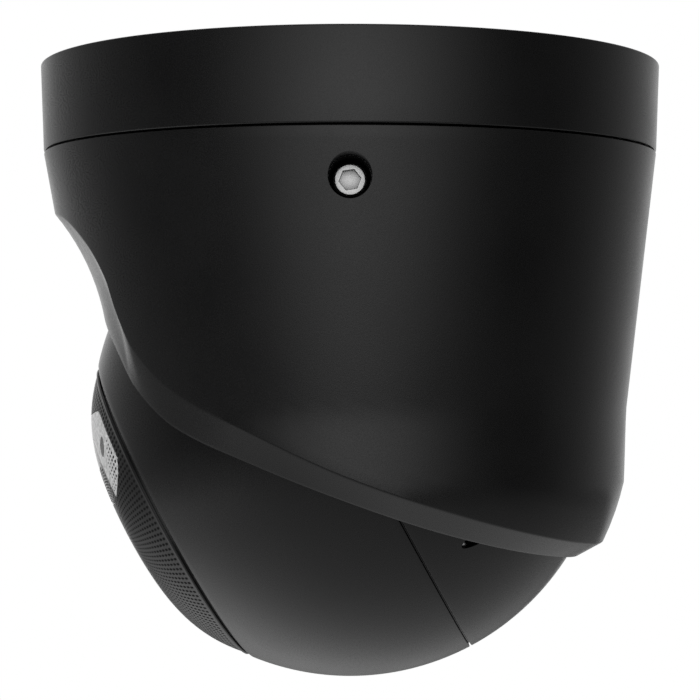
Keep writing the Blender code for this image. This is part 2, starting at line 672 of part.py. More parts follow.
def make_cover(ball):
    outer, inner = dome_slab_profile(COVER_WALL)
    rim = [(COVER_RADIUS - 0.25 * MM, COVER_UNDERSIDE + 0.45 * MM), (COVER_RADIUS, COVER_UNDERSIDE + 0.2 * MM),
           (COVER_RADIUS, COVER_UNDERSIDE), (27.8 * MM, COVER_UNDERSIDE)]
    cover = turned("front_cover", outer + rim + inner, 32, BLACK_PLASTIC, ball)
    cut(cover, window_prism("window_opening", GAP, ball))
    window_outer, window_inner = dome_slab_profile(COVER_WALL)
    flat = [(28.1 * MM, 34.8 * MM), (27.8 * MM, 34.8 * MM)]
    window = turned("front_window", window_outer + flat + window_inner, 32, GLOSS_BLACK, ball)
    boolean(window, window_prism("window_outline", 0.0, ball), "INTERSECT")
    tube("cover_gasket", 26.0 * MM, 27.7 * MM, 33.3 * MM, 34.3 * MM, 28, RUBBER, ball)


def make_optics(ball):
    lens_spot = (0.0, WINDOW_Y, 0.0)
    holder = [(8.2 * MM, 26 * MM), (8.2 * MM, 15.7 * MM), (9.5 * MM, 15.7 * MM), (9.5 * MM, 13.7 * MM),
              (6.6 * MM, 13.7 * MM), (6.6 * MM, 26 * MM)]
    turned("lens_holder", holder, 16, BLACK_PLASTIC, ball, lens_spot)
    barrel = [(7.2 * MM, 38.3 * MM), (7.2 * MM, 30 * MM), (6.3 * MM, 30 * MM), (6.3 * MM, 17 * MM),
              (4.0 * MM, 17 * MM), (4.0 * MM, 35.4 * MM), (5.9 * MM, 36.3 * MM), (6.3 * MM, 38.3 * MM)]
    turned("lens_barrel", barrel, 18, BLACK_PLASTIC, ball, lens_spot)
    glass = [(0.0, 39.4 * MM), (3.0 * MM, 38.9 * MM), (5.2 * MM, 37.6 * MM), (5.2 * MM, 36.7 * MM),
             (0.0, 36.7 * MM)]
    turned("lens_glass", glass, 16, GLASS, ball, lens_spot)
    tube("light_baffle", 7.6 * MM, 9.2 * MM, 29.0 * MM, 37.6 * MM, 18, RUBBER, ball, lens_spot)
    block("sensor_board", (30 * MM, 24 * MM, 1.4 * MM), (0, WINDOW_Y, 12.7 * MM), BOARD, ball)
    block("image_sensor", (8 * MM, 6 * MM, 1.0 * MM), (0, WINDOW_Y, 14.2 * MM), CHIP, ball)
    board = pill("ir_board", 21.5 * MM, 9.0 * MM, 27.5 * MM, 28.7 * MM, BOARD, ball, corner_steps=4)
    cut(board, drum("ir_board_hole", 7.6 * MM, 26 * MM, 30 * MM, 20, parent=ball, location=lens_spot,
                    cutter=True))
    for side, x in (("left", -LED_X), ("right", LED_X)):
        spot = (x, LED_Y, 0.0)
        cup = [(2.75 * MM, 35.5 * MM), (2.75 * MM, 29.0 * MM), (2.1 * MM, 29.0 * MM), (2.45 * MM, 35.5 * MM)]
        turned(f"ir_reflector_{side}", cup, 14, MIRROR_CUP, ball, spot)
        emitter = [(0.0, 31.6 * MM), (1.1 * MM, 31.3 * MM), (1.8 * MM, 30.2 * MM), (1.8 * MM, 29.0 * MM),
                   (0.0, 29.0 * MM)]
        turned(f"ir_led_{side}", emitter, 10, GLASS, ball, spot)


def make_electronics(ball, front_shell):
    frame = drum("inner_frame", 37.8 * MM, 7.2 * MM, 9.7 * MM, 24, ALUMINIUM, ball)
    window = drum("frame_window", 13 * MM, 0.0, 20 * MM, 18, parent=ball, cutter=True)
    window.location = (0.0, WINDOW_Y, 0.0)
    cut(frame, window)
    main_board = drum("main_board", 33 * MM, 1.0 * MM, 2.6 * MM, 24, BOARD, ball)
    for i in range(3):
        angle = radians(-90 + 120 * i)
        leg_spot = polar(27 * MM, angle)
        leg = drum(f"frame_leg_{i + 1}", 2.4 * MM, 2.9 * MM, 8.4 * MM, 12, parent=ball,
                   location=leg_spot, cutter=True)
        boolean(frame, leg, "UNION")
        bore = drum(f"leg_bore_{i + 1}", 1.25 * MM, 0.0, 7.4 * MM, 10, parent=ball, location=leg_spot,
                    cutter=True)
        cut(frame, bore)
        cut(main_board, bore)
        plain_screw(f"board_screw_{i + 1}", (1.8 * MM, 1.3 * MM), (0.9 * MM, 5.6 * MM), ZINC, ball,
                    (leg_spot[0], leg_spot[1], 0.7 * MM), flip=True)
        rim_spot = polar(36.1 * MM, angle + radians(60))
        rim_hole = drum(f"rim_hole_{i + 1}", 1.2 * MM, 6 * MM, 13 * MM, 10, parent=ball,
                        location=rim_spot, cutter=True)
        cut(frame, rim_hole)
        cut(front_shell, rim_hole)
        plain_screw(f"frame_screw_{i + 1}", (1.5 * MM, 1.2 * MM), (0.85 * MM, 5.4 * MM), ZINC, ball,
                    (rim_spot[0], rim_spot[1], 6.9 * MM), flip=True)
    block("main_processor", (13 * MM, 13 * MM, 1.5 * MM), (0, 0, -0.05 * MM), CHIP, ball)
    drum("heat_spreader", 29 * MM, -4.1 * MM, -1.1 * MM, 24, ALUMINIUM, ball)
    block("card_slot", (12 * MM, 13 * MM, 1.6 * MM), (15 * MM, -8 * MM, 3.7 * MM), ZINC, ball)
    tube("microphone_boot", 2.5 * MM, 3.6 * MM, 35.2 * MM, 38.0 * MM, 12, RUBBER, ball, (0, -19 * MM, 0))
    drum("microphone", 2.2 * MM, 35.5 * MM, 37.7 * MM, 12, ALUMINIUM, ball, (0, -19 * MM, 0))


def make_cable_swivel(swivel):
    bush = [(8.5 * MM, -36.0 * MM), (8.5 * MM, -37.6 * MM), (5.6 * MM, -37.6 * MM),
            (5.6 * MM, WELL_FLOOR), (4.9 * MM, WELL_FLOOR), (4.9 * MM, -41.6 * MM),
            (5.6 * MM, -41.6 * MM), (5.6 * MM, -43.5 * MM), (3.2 * MM, -43.5 * MM), (3.2 * MM, -36.0 * MM)]
    turned("cable_bush", bush, 16, BLACK_PLASTIC, swivel)
    tube("bush_clip", 5.2 * MM, 8.2 * MM, -41.3 * MM, WELL_FLOOR - GAP, 16, STEEL, swivel)


def build_camera():
    pan_axis = add_empty("pan_axis", (0.0, 0.0, 0.0))
    tilt_axis = add_empty("tilt_axis", (0.0, 0.0, BALL_Z), parent=pan_axis)
    swivel = add_empty("swivel_axis", (0.0, 0.0, 0.0), pi / 2 + OPTICAL_PITCH, tilt_axis)
    ball = add_empty("roll_axis", (0.0, 0.0, 0.0), pi / 2 + OPTICAL_PITCH, tilt_axis)
    make_base()
    make_shroud(pan_axis)
    make_cable_swivel(swivel)
    front_shell = make_shells(ball)
    make_cover(ball)
    make_optics(ball)
    make_electronics(ball, front_shell)
    bpy.context.view_layer.update()


build_camera()
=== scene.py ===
"""Looks of the ceiling turret camera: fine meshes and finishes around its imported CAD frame.

Metres, +Z up, in the CAD's own frame: the origin is the centre of the ceiling face, the lens
looks towards -Y and the lock screw faces +X. Pieces of the ball are made in the ball's frame,
whose Z is the optical axis and whose X is the world's, and are then turned into place.
"""

from math import acos, asin, atan2, cos, hypot, pi, radians, sin, sqrt

import bmesh
import bpy
from mathutils import Matrix, Vector


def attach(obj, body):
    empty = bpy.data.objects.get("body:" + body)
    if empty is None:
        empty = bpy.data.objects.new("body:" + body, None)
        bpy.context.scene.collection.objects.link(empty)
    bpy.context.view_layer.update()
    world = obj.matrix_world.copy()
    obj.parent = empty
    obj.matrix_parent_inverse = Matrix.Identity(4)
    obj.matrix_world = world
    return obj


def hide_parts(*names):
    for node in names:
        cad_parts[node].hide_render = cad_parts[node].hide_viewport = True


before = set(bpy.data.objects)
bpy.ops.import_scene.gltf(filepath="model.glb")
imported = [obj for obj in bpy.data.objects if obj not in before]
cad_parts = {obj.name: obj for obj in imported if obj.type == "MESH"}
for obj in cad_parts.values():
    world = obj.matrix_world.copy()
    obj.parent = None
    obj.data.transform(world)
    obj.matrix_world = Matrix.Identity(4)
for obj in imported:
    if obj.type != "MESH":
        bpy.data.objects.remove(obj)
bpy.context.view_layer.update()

MM = 0.001
GAP = 0.3 * MM
ROUND = 0.3 * MM            # usual rounding of a moulded or cast edge
GRAIN_DEPTH = 0.04 * MM
STEPS = 192                 # facets round a large piece

# Base band
BAND_TOP_RADIUS = 55.0 * MM
BAND_BOTTOM_RADIUS = 54.49 * MM
BAND_HEIGHT = 15.12 * MM
BAND_INSIDE = 52.3 * MM
BAND_OPENING = 46.5 * MM
BAND_FLOOR = 2.0 * MM
LEDGE_TOP = -1.8 * MM
LEDGE_BOTTOM = -3.6 * MM
LEDGE_INSIDE = 49.1 * MM
PLATE_RADIUS = 48.7 * MM
PLATE_THICKNESS = 3.0 * MM
LUG_RADIUS = 51.2 * MM
LUG_THICKNESS = 1.9 * MM
LEDGE_NOTCH = (6.0 * MM, 17.0 * MM, 2.4 * MM)
LEDGE_NOTCH_CENTRE = (50.0 * MM, 0.0, -2.7 * MM)
CABLE_HOLE_RADIUS = 10.0 * MM
CABLE_HOLE_Y = 18.0 * MM
CEILING_SCREW_CIRCLE = 36.0 * MM
CEILING_SCREW_HOLE = 2.25 * MM
HUB_FLANGE = 46.0 * MM
HUB_SCREW_CIRCLE = 43.4 * MM
HUB_SCREW_HOLE = 1.4 * MM

# Shroud: a cone that turns upright and then follows a sphere about the ball's centre
SHROUD_TOP = -15.42 * MM
SHROUD_TOP_RADIUS = 54.47 * MM
CONE_SLOPE = 0.1153
FRONT_SLOPE = 0.068
WAIST = -60.8 * MM
TUCK = -73.2 * MM
TUCK_RADIUS = 48.88 * MM
SHROUD_SPHERE = 50.1 * MM
WALL = 2.2 * MM
NECK_OUTSIDE = 46.2 * MM
NECK_INSIDE = 41.5 * MM
NECK_TOP = -12.0 * MM
SHROUD_CEILING = -17.4 * MM
RING_SCREW_CIRCLE = 43.8 * MM
CLAMP_SCREW_CIRCLE = 44.0 * MM
NECK_SCREW_HOLE = 1.35 * MM

# Side view of the shroud's lip, front to back, as (Y, Z): outer edge, then inner edge
LIP_OUTER = [(y * MM, z * MM) for y, z in (
    (-53.0, -25.8), (-49.4, -27.3), (-44.4, -31.9), (-40.6, -38.0), (-38.5, -44.0), (-35.6, -49.9),
    (-28.8, -56.6), (-16.5, -62.9), (0.0, -70.3), (18.3, -76.6), (32.0, -80.7), (42.2, -83.4),
    (45.4, -84.0))]
LIP_INNER = [(y * MM, z * MM) for y, z in (
    (-43.5, -44.1), (-39.9, -49.3), (-35.4, -56.4), (-28.6, -62.6), (-15.5, -68.4), (0.0, -74.4),
    (13.6, -79.2), (26.8, -83.1), (34.8, -85.1), (40.4, -86.5))]
LIP_SPHERE = 47.3 * MM
THROAT_SPHERE = 46.8 * MM
LINER_POCKET = 47.7 * MM
LINER_MARGIN = radians(0.8)
LINER_TILT = radians(27.0)
LINER_LOW = radians(4.2)
LINER_HIGH = radians(13.0)
COVE = 0.25
PLAIN_LIP = 6.0 * MM

# Lock screw
LOCK_Z = -23.4 * MM
LOCK_RECESS_RADIUS = 3.3 * MM
LOCK_FACE_X = 48.15 * MM
LOCK_BOSS_RADIUS = 4.6 * MM
LOCK_BOSS_END = 44.0 * MM

# Ball
BALL_Z = -62.24 * MM
BALL_RADIUS = 45.94 * MM
OPTICAL_PITCH = radians(28.0)
SEAM_HALF = 0.18 * MM
SEAM_TONGUE = 45.3 * MM     # a low rib on the rear shell closes the seam just under the surface
SHELL_INSIDE = 42.4 * MM
SHELL_COLLAR = 38.5 * MM
SHELL_FRONT = 34.95 * MM
COVER_SEAT = 28.2 * MM
SEAL_INNER = 39.0 * MM
SEAL_OUTER = 41.2 * MM
SEAL_DEPTH = 1.5 * MM
POCKET_CIRCLE = 43.2 * MM
POCKET_RADIUS = 2.25 * MM
POCKET_FLOOR = -6.0 * MM
SHELL_SCREW_HOLE = 1.1 * MM
SHELL_SCREW_HEAD = (1.7 * MM, 1.3 * MM)     # radius and height
POCKET_ANGLES = (35.0, 145.0, 215.0, 325.0)
WELL_RADIUS = 11.0 * MM
WELL_FLOOR = -39.9 * MM
WELL_INSIDE = -37.9 * MM
BUSH_HOLE = 6.0 * MM

# Front cover and window
DOME_APEX = 44.07 * MM
DOME_DROP = 8.57 * MM
DOME_EDGE = 28.8 * MM
DOME_POWER = 3.37
COVER_RADIUS = 28.9 * MM
COVER_UNDERSIDE = 35.45 * MM
COVER_WALL = 1.8 * MM
# Rounded rim of the cover, in mm inwards from its edge and up from its underside
COVER_EDGE = ((0.45, 0.49), (0.24, 0.43), (0.12, 0.35), (0.06, 0.24), (0.02, 0.08), (0.05, 0.0))
COVER_RIM_INSIDE = 27.8 * MM
WINDOW_Y = 14.2 * MM
WINDOW_HALF_HEIGHT = 7.8 * MM
WINDOW_HALF_LENGTH = 23.4 * MM
WINDOW_RING = 26.5 * MM     # the window's ends stop at this distance from the optical axis
WINDOW_THICKNESS = 1.5 * MM
WINDOW_EDGE = 0.08 * MM     # rounding of the window's edge
INSERT_EDGE = 0.15 * MM
EASING_PASSES = 6           # they soften the corners of the window's outline
LED_X = 15.9 * MM
LED_Y = 15.8 * MM
PALE_START = 20.6 * MM      # the window is pale beyond this distance from the optical axis
LENS_WINDOW_RADIUS = 7.3 * MM
FILTER_X = 17.3 * MM        # dark filter over each LED, seen on the window's face
FILTER_Y = 16.0 * MM
FILTER_WIDTH = 2.2 * MM
FILTER_HEIGHT = 3.3 * MM
WINDOW_JOINT = 0.12 * MM    # fine gap round the window and its inserts
INSERT_LIFT = -0.02 * MM    # the inserts sit just under the window's face
DOT_PITCH = 0.91 * MM       # between rings, along the dome
DOT_OUTER_RING = 27.82 * MM
DOT_SPOKES = 176
DOT_DEPTH = 0.3 * MM
DOT_FADE_START = 18.8 * MM  # printed dots on the window begin this far to either side
DOT_FADE = 3.6 * MM

FRONT_CUT = (30.0 * MM, 50.0 * MM)  # reach of the cutters that pass through the front cover

FLOOR_Z = -0.8
FLOOR_HALF = 3.0
FLOOR_POOL = (-0.4, -0.4, FLOOR_Z)  # where the floor is brightest

BALL_FRAME = Matrix.Translation((0.0, 0.0, BALL_Z)) @ Matrix.Rotation(pi / 2 + OPTICAL_PITCH, 4, "X")
FACING_X = Matrix.Rotation(pi / 2, 4, "Y")
LOCK_TURN = Matrix.Rotation(radians(39.0), 4, "Z")
UPRIGHT = Matrix.Identity(4)


# ---------------------------------------------------------------- mesh building blocks

def polar(radius, angle, height=0.0):
    return (radius * cos(angle), radius * sin(angle), height)


def in_mm(*points):
    """Pairs given in millimetres, as metres."""
    return [(x * MM, y * MM) for x, y in points]


def dressed(item, body, material, stands_for=()):
    """Gives a new piece its body, its finish (unless it has its own) and its CAD nodes."""
    if material is not None:
        item.data.materials.clear()
        item.data.materials.append(material)
    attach(item, body)
    if stands_for:
        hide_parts(*stands_for)
    return item


def object_from(builder, name, place=UPRIGHT, sharp=35.0):
    """Turns a bmesh into a smooth-shaded object whose vertices are in the row frame."""
    mesh = bpy.data.meshes.new(name)
    builder.transform(place)
    builder.to_mesh(mesh)
    builder.free()
    mesh.shade_smooth()
    mesh.set_sharp_from_angle(angle=radians(sharp))
    item = bpy.data.objects.new(name, mesh)
    bpy.context.scene.collection.objects.link(item)
    return item


def softened(profile, size=ROUND, least=25.0, points=4, closed=True):
    """An outline with its corners rounded by short curves."""
    count = len(profile)
    result = []
    for i, (x, y) in enumerate(profile):
        if not closed and i in (0, count - 1):
            result.append((x, y))
            continue
        before, after = profile[i - 1], profile[(i + 1) % count]
        back = Vector((before[0] - x, before[1] - y))
        on = Vector((after[0] - x, after[1] - y))
        if back.length < 1e-9 or on.length < 1e-9 or pi - back.angle(on) < radians(least):
            result.append((x, y))
            continue
        reach_back = min(size, 0.42 * back.length)
        reach_on = min(size, 0.42 * on.length)
        start = Vector((x, y)) + back.normalized() * reach_back
        end = Vector((x, y)) + on.normalized() * reach_on
        for k in range(points + 1):
            t = k / points
            spot = start * (1 - t) ** 2 + Vector((x, y)) * 2 * t * (1 - t) + end * t * t
            result.append((spot.x, spot.y))
    return result


def stitch(builder, upper, lower):
    """Joins two closed rows of vertices with a band of faces."""
    count = len(upper)
    for i in range(count):
        j = (i + 1) % count
        builder.faces.new((upper[i], lower[i], lower[j], upper[j]))


def turned_mesh(profile, steps):
    """A turned body: (radius, height) rows, from axis to axis or closed on themselves."""
    builder = bmesh.new()
    rows = []
    for radius, height in profile:
        if radius < 1e-7:
            rows.append([builder.verts.new((0.0, 0.0, height))])
        else:
            rows.append([builder.verts.new(polar(radius, 2 * pi * i / steps, height))
                         for i in range(steps)])
    pairs = list(zip(rows, rows[1:]))
    if len(rows[0]) > 1:
        pairs.append((rows[-1], rows[0]))
    for upper, lower in pairs:
        for i in range(steps):
            j = (i + 1) % steps
            corners = [upper[i % len(upper)], lower[i % len(lower)], lower[j % len(lower)],
                       upper[j % len(upper)]]
            corners = list(dict.fromkeys(corners))
            if len(corners) > 2:
                builder.faces.new(corners)
    bmesh.ops.recalc_face_normals(builder, faces=builder.faces)
    return builder


def turned(name, profile, steps=STEPS, place=UPRIGHT, soft=ROUND):
    on_axis = profile[0][0] < 1e-7
    outline = softened(profile, soft, closed=not on_axis) if soft else profile
    return object_from(turned_mesh(outline, steps), name, place)


def turned_piece(node_name, body, slot, profile, steps, place=UPRIGHT, soft=ROUND):
    """A turned body that stands for one CAD node and is named after it."""
    piece = turned(f"{node_name}_skin", profile, steps, place, soft)
    return dressed(piece, body, FINISH[slot], [node_name])


def cutter(name, profile, steps, place=UPRIGHT):
    return object_from(turned_mesh(profile, steps), name, place)


def drum_profile(radius, low, high):
    return [(0.0, high), (radius, high), (radius, low), (0.0, low)]


def block_cutter(name, size, centre, place=UPRIGHT):
    builder = bmesh.new()
    bmesh.ops.create_cube(builder, size=1.0)
    bmesh.ops.scale(builder, vec=size, verts=builder.verts)
    bmesh.ops.translate(builder, vec=centre, verts=builder.verts)
    return object_from(builder, name, place)


def combine(item, others, operation="DIFFERENCE"):
    """Applies exact Booleans and removes the cutters."""
    for other in others:
        modifier = item.modifiers.new("cut", "BOOLEAN")
        modifier.operation = operation
        modifier.solver = "EXACT"
        modifier.object = other
    bpy.context.view_layer.update()
    evaluated = item.evaluated_get(bpy.context.evaluated_depsgraph_get())
    mesh = bpy.data.meshes.new_from_object(evaluated)
    item.modifiers.clear()
    item.data = mesh
    mesh.shade_smooth()
    mesh.set_sharp_from_angle(angle=radians(35.0))
    for other in others:
        bpy.data.objects.remove(other)
    return item


def arc_points(radius, start, end, count):
    angles = [start + (end - start) * i / (count - 1) for i in range(count)]
    return [(radius * cos(a), radius * sin(a)) for a in angles]


# ---------------------------------------------------------------- finishes

def node(tree, kind, **settings):
    made = tree.nodes.new(kind)
    for key, value in settings.items():
        setattr(made, key, value)
    return made


def noise(tree, coordinates, scale, detail):
    made = node(tree, "ShaderNodeTexNoise")
    made.inputs["Scale"].default_value = scale
    made.inputs["Detail"].default_value = detail
    tree.links.new(coordinates, made.inputs["Vector"])
    return made.outputs["Fac"]


def remapped(tree, value, source, target):
    """Maps a value from the source range onto the target range."""
    made = node(tree, "ShaderNodeMapRange")
    for socket, number in zip(("From Min", "From Max", "To Min", "To Max"), (*source, *target)):
        made.inputs[socket].default_value = number
    tree.links.new(value, made.inputs["Value"])
    return made.outputs["Result"]


def spread(tree, factor, low, high):
    """Maps a noise value, which keeps near its middle, onto the range from low to high."""
    return remapped(tree, factor, (0.3, 0.7), (low, high))


def tint(tree, factor, dark, light):
    made = node(tree, "ShaderNodeMix", data_type="RGBA")
    for socket in made.inputs:
        if socket.type == "RGBA":
            socket.default_value = (*dark, 1.0) if socket.identifier.startswith("A") else (*light, 1.0)
    factor_socket = next(s for s in made.inputs if s.identifier == "Factor_Float")
    tree.links.new(factor, factor_socket)
    return next(s for s in made.outputs if s.type == "RGBA")


def finish(name, dark, light, roughness, grain_mm, bump, metallic=0.0, blotch_mm=14.0, fixed=()):
    """A finish with fine grain in its surface and slow changes in its colour and roughness."""
    material = bpy.data.materials.new(name)
    material.use_nodes = True
    tree = material.node_tree
    shader = tree.nodes["Principled BSDF"]
    vector = node(tree, "ShaderNodeTexCoord").outputs["Object"]
    slow = noise(tree, vector, 1.0 / (blotch_mm * MM), 3.0)
    fine = noise(tree, vector, 1.0 / (grain_mm * MM), 2.0)
    tree.links.new(tint(tree, spread(tree, slow, 0.0, 1.0), dark, light), shader.inputs["Base Color"])
    mixed = node(tree, "ShaderNodeMath", operation="ADD")
    tree.links.new(spread(tree, slow, -0.03, 0.03), mixed.inputs[0])
    tree.links.new(spread(tree, fine, roughness - 0.05, roughness + 0.05), mixed.inputs[1])
    tree.links.new(mixed.outputs["Value"], shader.inputs["Roughness"])
    relief = node(tree, "ShaderNodeBump")
    relief.inputs["Strength"].default_value = bump
    relief.inputs["Distance"].default_value = GRAIN_DEPTH
    tree.links.new(fine, relief.inputs["Height"])
    tree.links.new(relief.outputs["Normal"], shader.inputs["Normal"])
    shader.inputs["Metallic"].default_value = metallic
    for socket, value in fixed:
        shader.inputs[socket].default_value = value
    material.diffuse_color = (*light, 1.0)
    return material


def make_finishes():
    return {
        "satin_black_paint": finish("satin_black_powder_coat", (0.0042, 0.0042, 0.0044),
                                    (0.0052, 0.0052, 0.0054), 0.27, 0.22, 0.18),
        "black_plastic": finish("moulded_black_plastic", (0.006, 0.006, 0.0062),
                                (0.009, 0.009, 0.0092), 0.48, 0.30, 0.30),
        "dotted_cover": finish("satin_moulded_cover", (0.0045, 0.0045, 0.0047),
                               (0.0055, 0.0055, 0.0058), 0.33, 0.12, 0.12),
        "dot_inside": finish("dimple_black", (0.007, 0.007, 0.007), (0.010, 0.010, 0.010), 0.8,
                             0.2, 0.1, fixed=[("Specular IOR Level", 0.15)]),
        # Near-black matte for the inside of the lock screw's recess: painted shade, darker than the paint
        # round it.
        "painted_recess_shade": finish("painted_recess_shade", (0.0010, 0.0010, 0.0010), (0.0016, 0.0016, 0.0016), 0.9, 0.2,
                               0.1, fixed=[("Specular IOR Level", 0.15)]),
        "window_clear": finish("clear_window", (0.90, 0.90, 0.91), (0.92, 0.92, 0.93), 0.05, 0.5, 0.01,
                               fixed=[("Transmission Weight", 1.0), ("IOR", 1.49)]),
        "window_black": finish("polished_black_window", (0.004, 0.004, 0.0042), (0.006, 0.006, 0.0062),
                               0.17, 0.5, 0.03),
        "window_pale": finish("pale_grained_window", (0.36, 0.36, 0.36), (0.72, 0.72, 0.72), 0.38, 0.22,
                              0.30, blotch_mm=0.55),
        "infrared_filter": finish("infrared_filter", (0.06, 0.06, 0.06), (0.09, 0.09, 0.09), 0.30, 0.3,
                                  0.10),
        "black_rubber": finish("black_rubber", (0.012, 0.012, 0.012), (0.020, 0.020, 0.020), 0.72,
                               0.35, 0.45),
        "stainless_steel": finish("turned_steel", (0.58, 0.58, 0.58), (0.66, 0.66, 0.66), 0.34, 0.12,
                                  0.12, 1.0, fixed=[("Anisotropic", 0.3)]),
        "zinc_steel": finish("zinc_plated_steel", (0.46, 0.47, 0.49), (0.60, 0.61, 0.63), 0.38, 0.35,
                             0.25, 1.0, blotch_mm=5.0),
        "cast_aluminium": finish("cast_aluminium", (0.50, 0.51, 0.53), (0.62, 0.63, 0.65), 0.46, 0.25,
                                 0.5, 1.0, blotch_mm=7.0),
        "white_nylon": finish("natural_nylon", (0.70, 0.69, 0.64), (0.78, 0.77, 0.72), 0.46, 0.5, 0.2,
                              fixed=[("Subsurface Weight", 0.15), ("Subsurface Scale", 0.8 * MM)]),
        "circuit_board": circuit_board_finish(),
        "chip_black": finish("moulded_epoxy", (0.02, 0.02, 0.023), (0.032, 0.032, 0.036), 0.5, 0.15,
                             0.35),
        "lens_glass": finish("coated_lens_glass", (0.30, 0.22, 0.42), (0.34, 0.26, 0.46), 0.03, 0.5,
                             0.01, fixed=[("Transmission Weight", 1.0), ("IOR", 1.6), ("Coat Weight", 0.6),
                                          ("Coat Tint", (0.62, 0.45, 1.0, 1.0))]),
        "reflector_silver": finish("metallised_reflector", (0.84, 0.84, 0.85), (0.90, 0.90, 0.91), 0.22,
                                   0.4, 0.15, 1.0),
    }


def circuit_board_finish():
    """Green solder mask with paler copper tracks showing through."""
    material = finish("green_solder_mask", (0.010, 0.085, 0.035), (0.014, 0.12, 0.05), 0.35, 0.25, 0.2)
    tree = material.node_tree
    shader = tree.nodes["Principled BSDF"]
    place = node(tree, "ShaderNodeTexCoord")
    tracks = node(tree, "ShaderNodeTexBrick")
    tracks.inputs["Scale"].default_value = 180.0
    tracks.inputs["Mortar Size"].default_value = 0.06
    tracks.inputs["Color1"].default_value = (0.010, 0.095, 0.040, 1.0)
    tracks.inputs["Color2"].default_value = (0.014, 0.120, 0.052, 1.0)
    tracks.inputs["Mortar"].default_value = (0.045, 0.200, 0.070, 1.0)
    tree.links.new(place.outputs["Object"], tracks.inputs["Vector"])
    tree.links.new(tracks.outputs["Color"], shader.inputs["Base Color"])
    return material


FINISH = make_finishes()


# ---------------------------------------------------------------- base

def make_base():
    ledge = [(BAND_INSIDE, LEDGE_BOTTOM), (LEDGE_INSIDE, LEDGE_BOTTOM), (LEDGE_INSIDE, LEDGE_TOP),
             (BAND_INSIDE, LEDGE_TOP)]
    floor_top = -BAND_HEIGHT + BAND_FLOOR
    profile = [(BAND_INSIDE, 0.0), (BAND_TOP_RADIUS, 0.0), (BAND_BOTTOM_RADIUS, -BAND_HEIGHT),
               (BAND_OPENING, -BAND_HEIGHT), (BAND_OPENING, floor_top), (BAND_INSIDE, floor_top)]
    band = turned("base_band_skin", profile + ledge, 256)

    lug_top = LEDGE_BOTTOM - GAP
    lug_bottom = lug_top - LUG_THICKNESS
    plate_profile = [(0.0, 0.0), (PLATE_RADIUS, 0.0), (PLATE_RADIUS, lug_top), (LUG_RADIUS, lug_top),
                     (LUG_RADIUS, lug_bottom), (HUB_FLANGE + 1 * MM, lug_bottom),
                     (HUB_FLANGE + 1 * MM, -PLATE_THICKNESS), (0.0, -PLATE_THICKNESS)]
    plate = turned("mounting_plate_skin", plate_profile, 128, soft=0.15 * MM)
    notches, cuts = [], []
    for i in range(3):
        turn = Matrix.Rotation(radians(90 + 120 * i), 4, "Z")
        notches.append(block_cutter(f"notch_{i}", LEDGE_NOTCH, LEDGE_NOTCH_CENTRE, turn))
        cuts.append(block_cutter(f"clearance_{i}", (40 * MM, 120 * MM, 4 * MM),
                                 (49 * MM, 0, -PLATE_THICKNESS - 2.05 * MM), turn))
        spot = Matrix.Translation(polar(CEILING_SCREW_CIRCLE, radians(30 + 120 * i)))
        countersunk = [(0.0, 1 * MM), (3.6 * MM, 1 * MM), (3.6 * MM, -0.1 * MM),
                       (CEILING_SCREW_HOLE, -1.3 * MM), (CEILING_SCREW_HOLE, -4 * MM), (0.0, -4 * MM)]
        cuts.append(cutter(f"ceiling_hole_{i}", countersunk, 32, spot))
        hub_spot = Matrix.Translation(polar(HUB_SCREW_CIRCLE, radians(-30 + 120 * i)))
        hub_hole = drum_profile(HUB_SCREW_HOLE, -8 * MM, -0.8 * MM)
        cuts.append(cutter(f"hub_hole_{i}", hub_hole, 24, hub_spot))
    cable_spot = Matrix.Translation((0.0, CABLE_HOLE_Y, 0.0))
    cuts.append(cutter("cable_hole", drum_profile(CABLE_HOLE_RADIUS, -4 * MM, 1 * MM), 64, cable_spot))
    dressed(combine(band, notches), "base", FINISH["satin_black_paint"],
            ["base_band"])
    dressed(combine(plate, cuts), "base", FINISH["zinc_steel"], ["mounting_plate"])

    gasket = [(BAND_INSIDE - GAP, 0.0), (BAND_INSIDE - GAP, -1.5 * MM),
              (LEDGE_INSIDE + 0.2 * MM, -1.5 * MM), (LEDGE_INSIDE + 0.2 * MM, 0.0)]
    turned_piece("ceiling_gasket", "base", "black_rubber", gasket, 160, soft=0.4 * MM)
    body = CABLE_HOLE_RADIUS - GAP
    grommet = [(body, 0.0), (body, -3.3 * MM), (12.5 * MM, -3.3 * MM), (12.5 * MM, -5.0 * MM),
               (4.5 * MM, -5.0 * MM), (4.5 * MM, -2.0 * MM), (6.6 * MM, 0.0)]
    turned_piece("cable_grommet", "base", "black_rubber", grommet, 64, cable_spot, 0.35 * MM)


# ---------------------------------------------------------------- shroud

def along(points, value):
    """Smooth monotone curve through (x, y) points, read at x = value."""
    last = len(points) - 1
    value = min(max(value, points[0][0]), points[last][0])
    i = 0
    while i < last - 1 and value > points[i + 1][0]:
        i += 1
    widths = [points[k + 1][0] - points[k][0] for k in range(last)]
    slopes = [(points[k + 1][1] - points[k][1]) / widths[k] for k in range(last)]

    def tangent(k):
        if k == 0:
            return slopes[0]
        if k == last:
            return slopes[last - 1]
        before, after = slopes[k - 1], slopes[k]
        if before * after <= 0.0:
            return 0.0
        return 2.0 * before * after / (before + after)

    t = (value - points[i][0]) / widths[i]
    return ((2 * t ** 3 - 3 * t ** 2 + 1) * points[i][1]
            + (t ** 3 - 2 * t ** 2 + t) * widths[i] * tangent(i)
            + (3 * t ** 2 - 2 * t ** 3) * points[i + 1][1]
            + (t ** 3 - t ** 2) * widths[i] * tangent(i + 1))


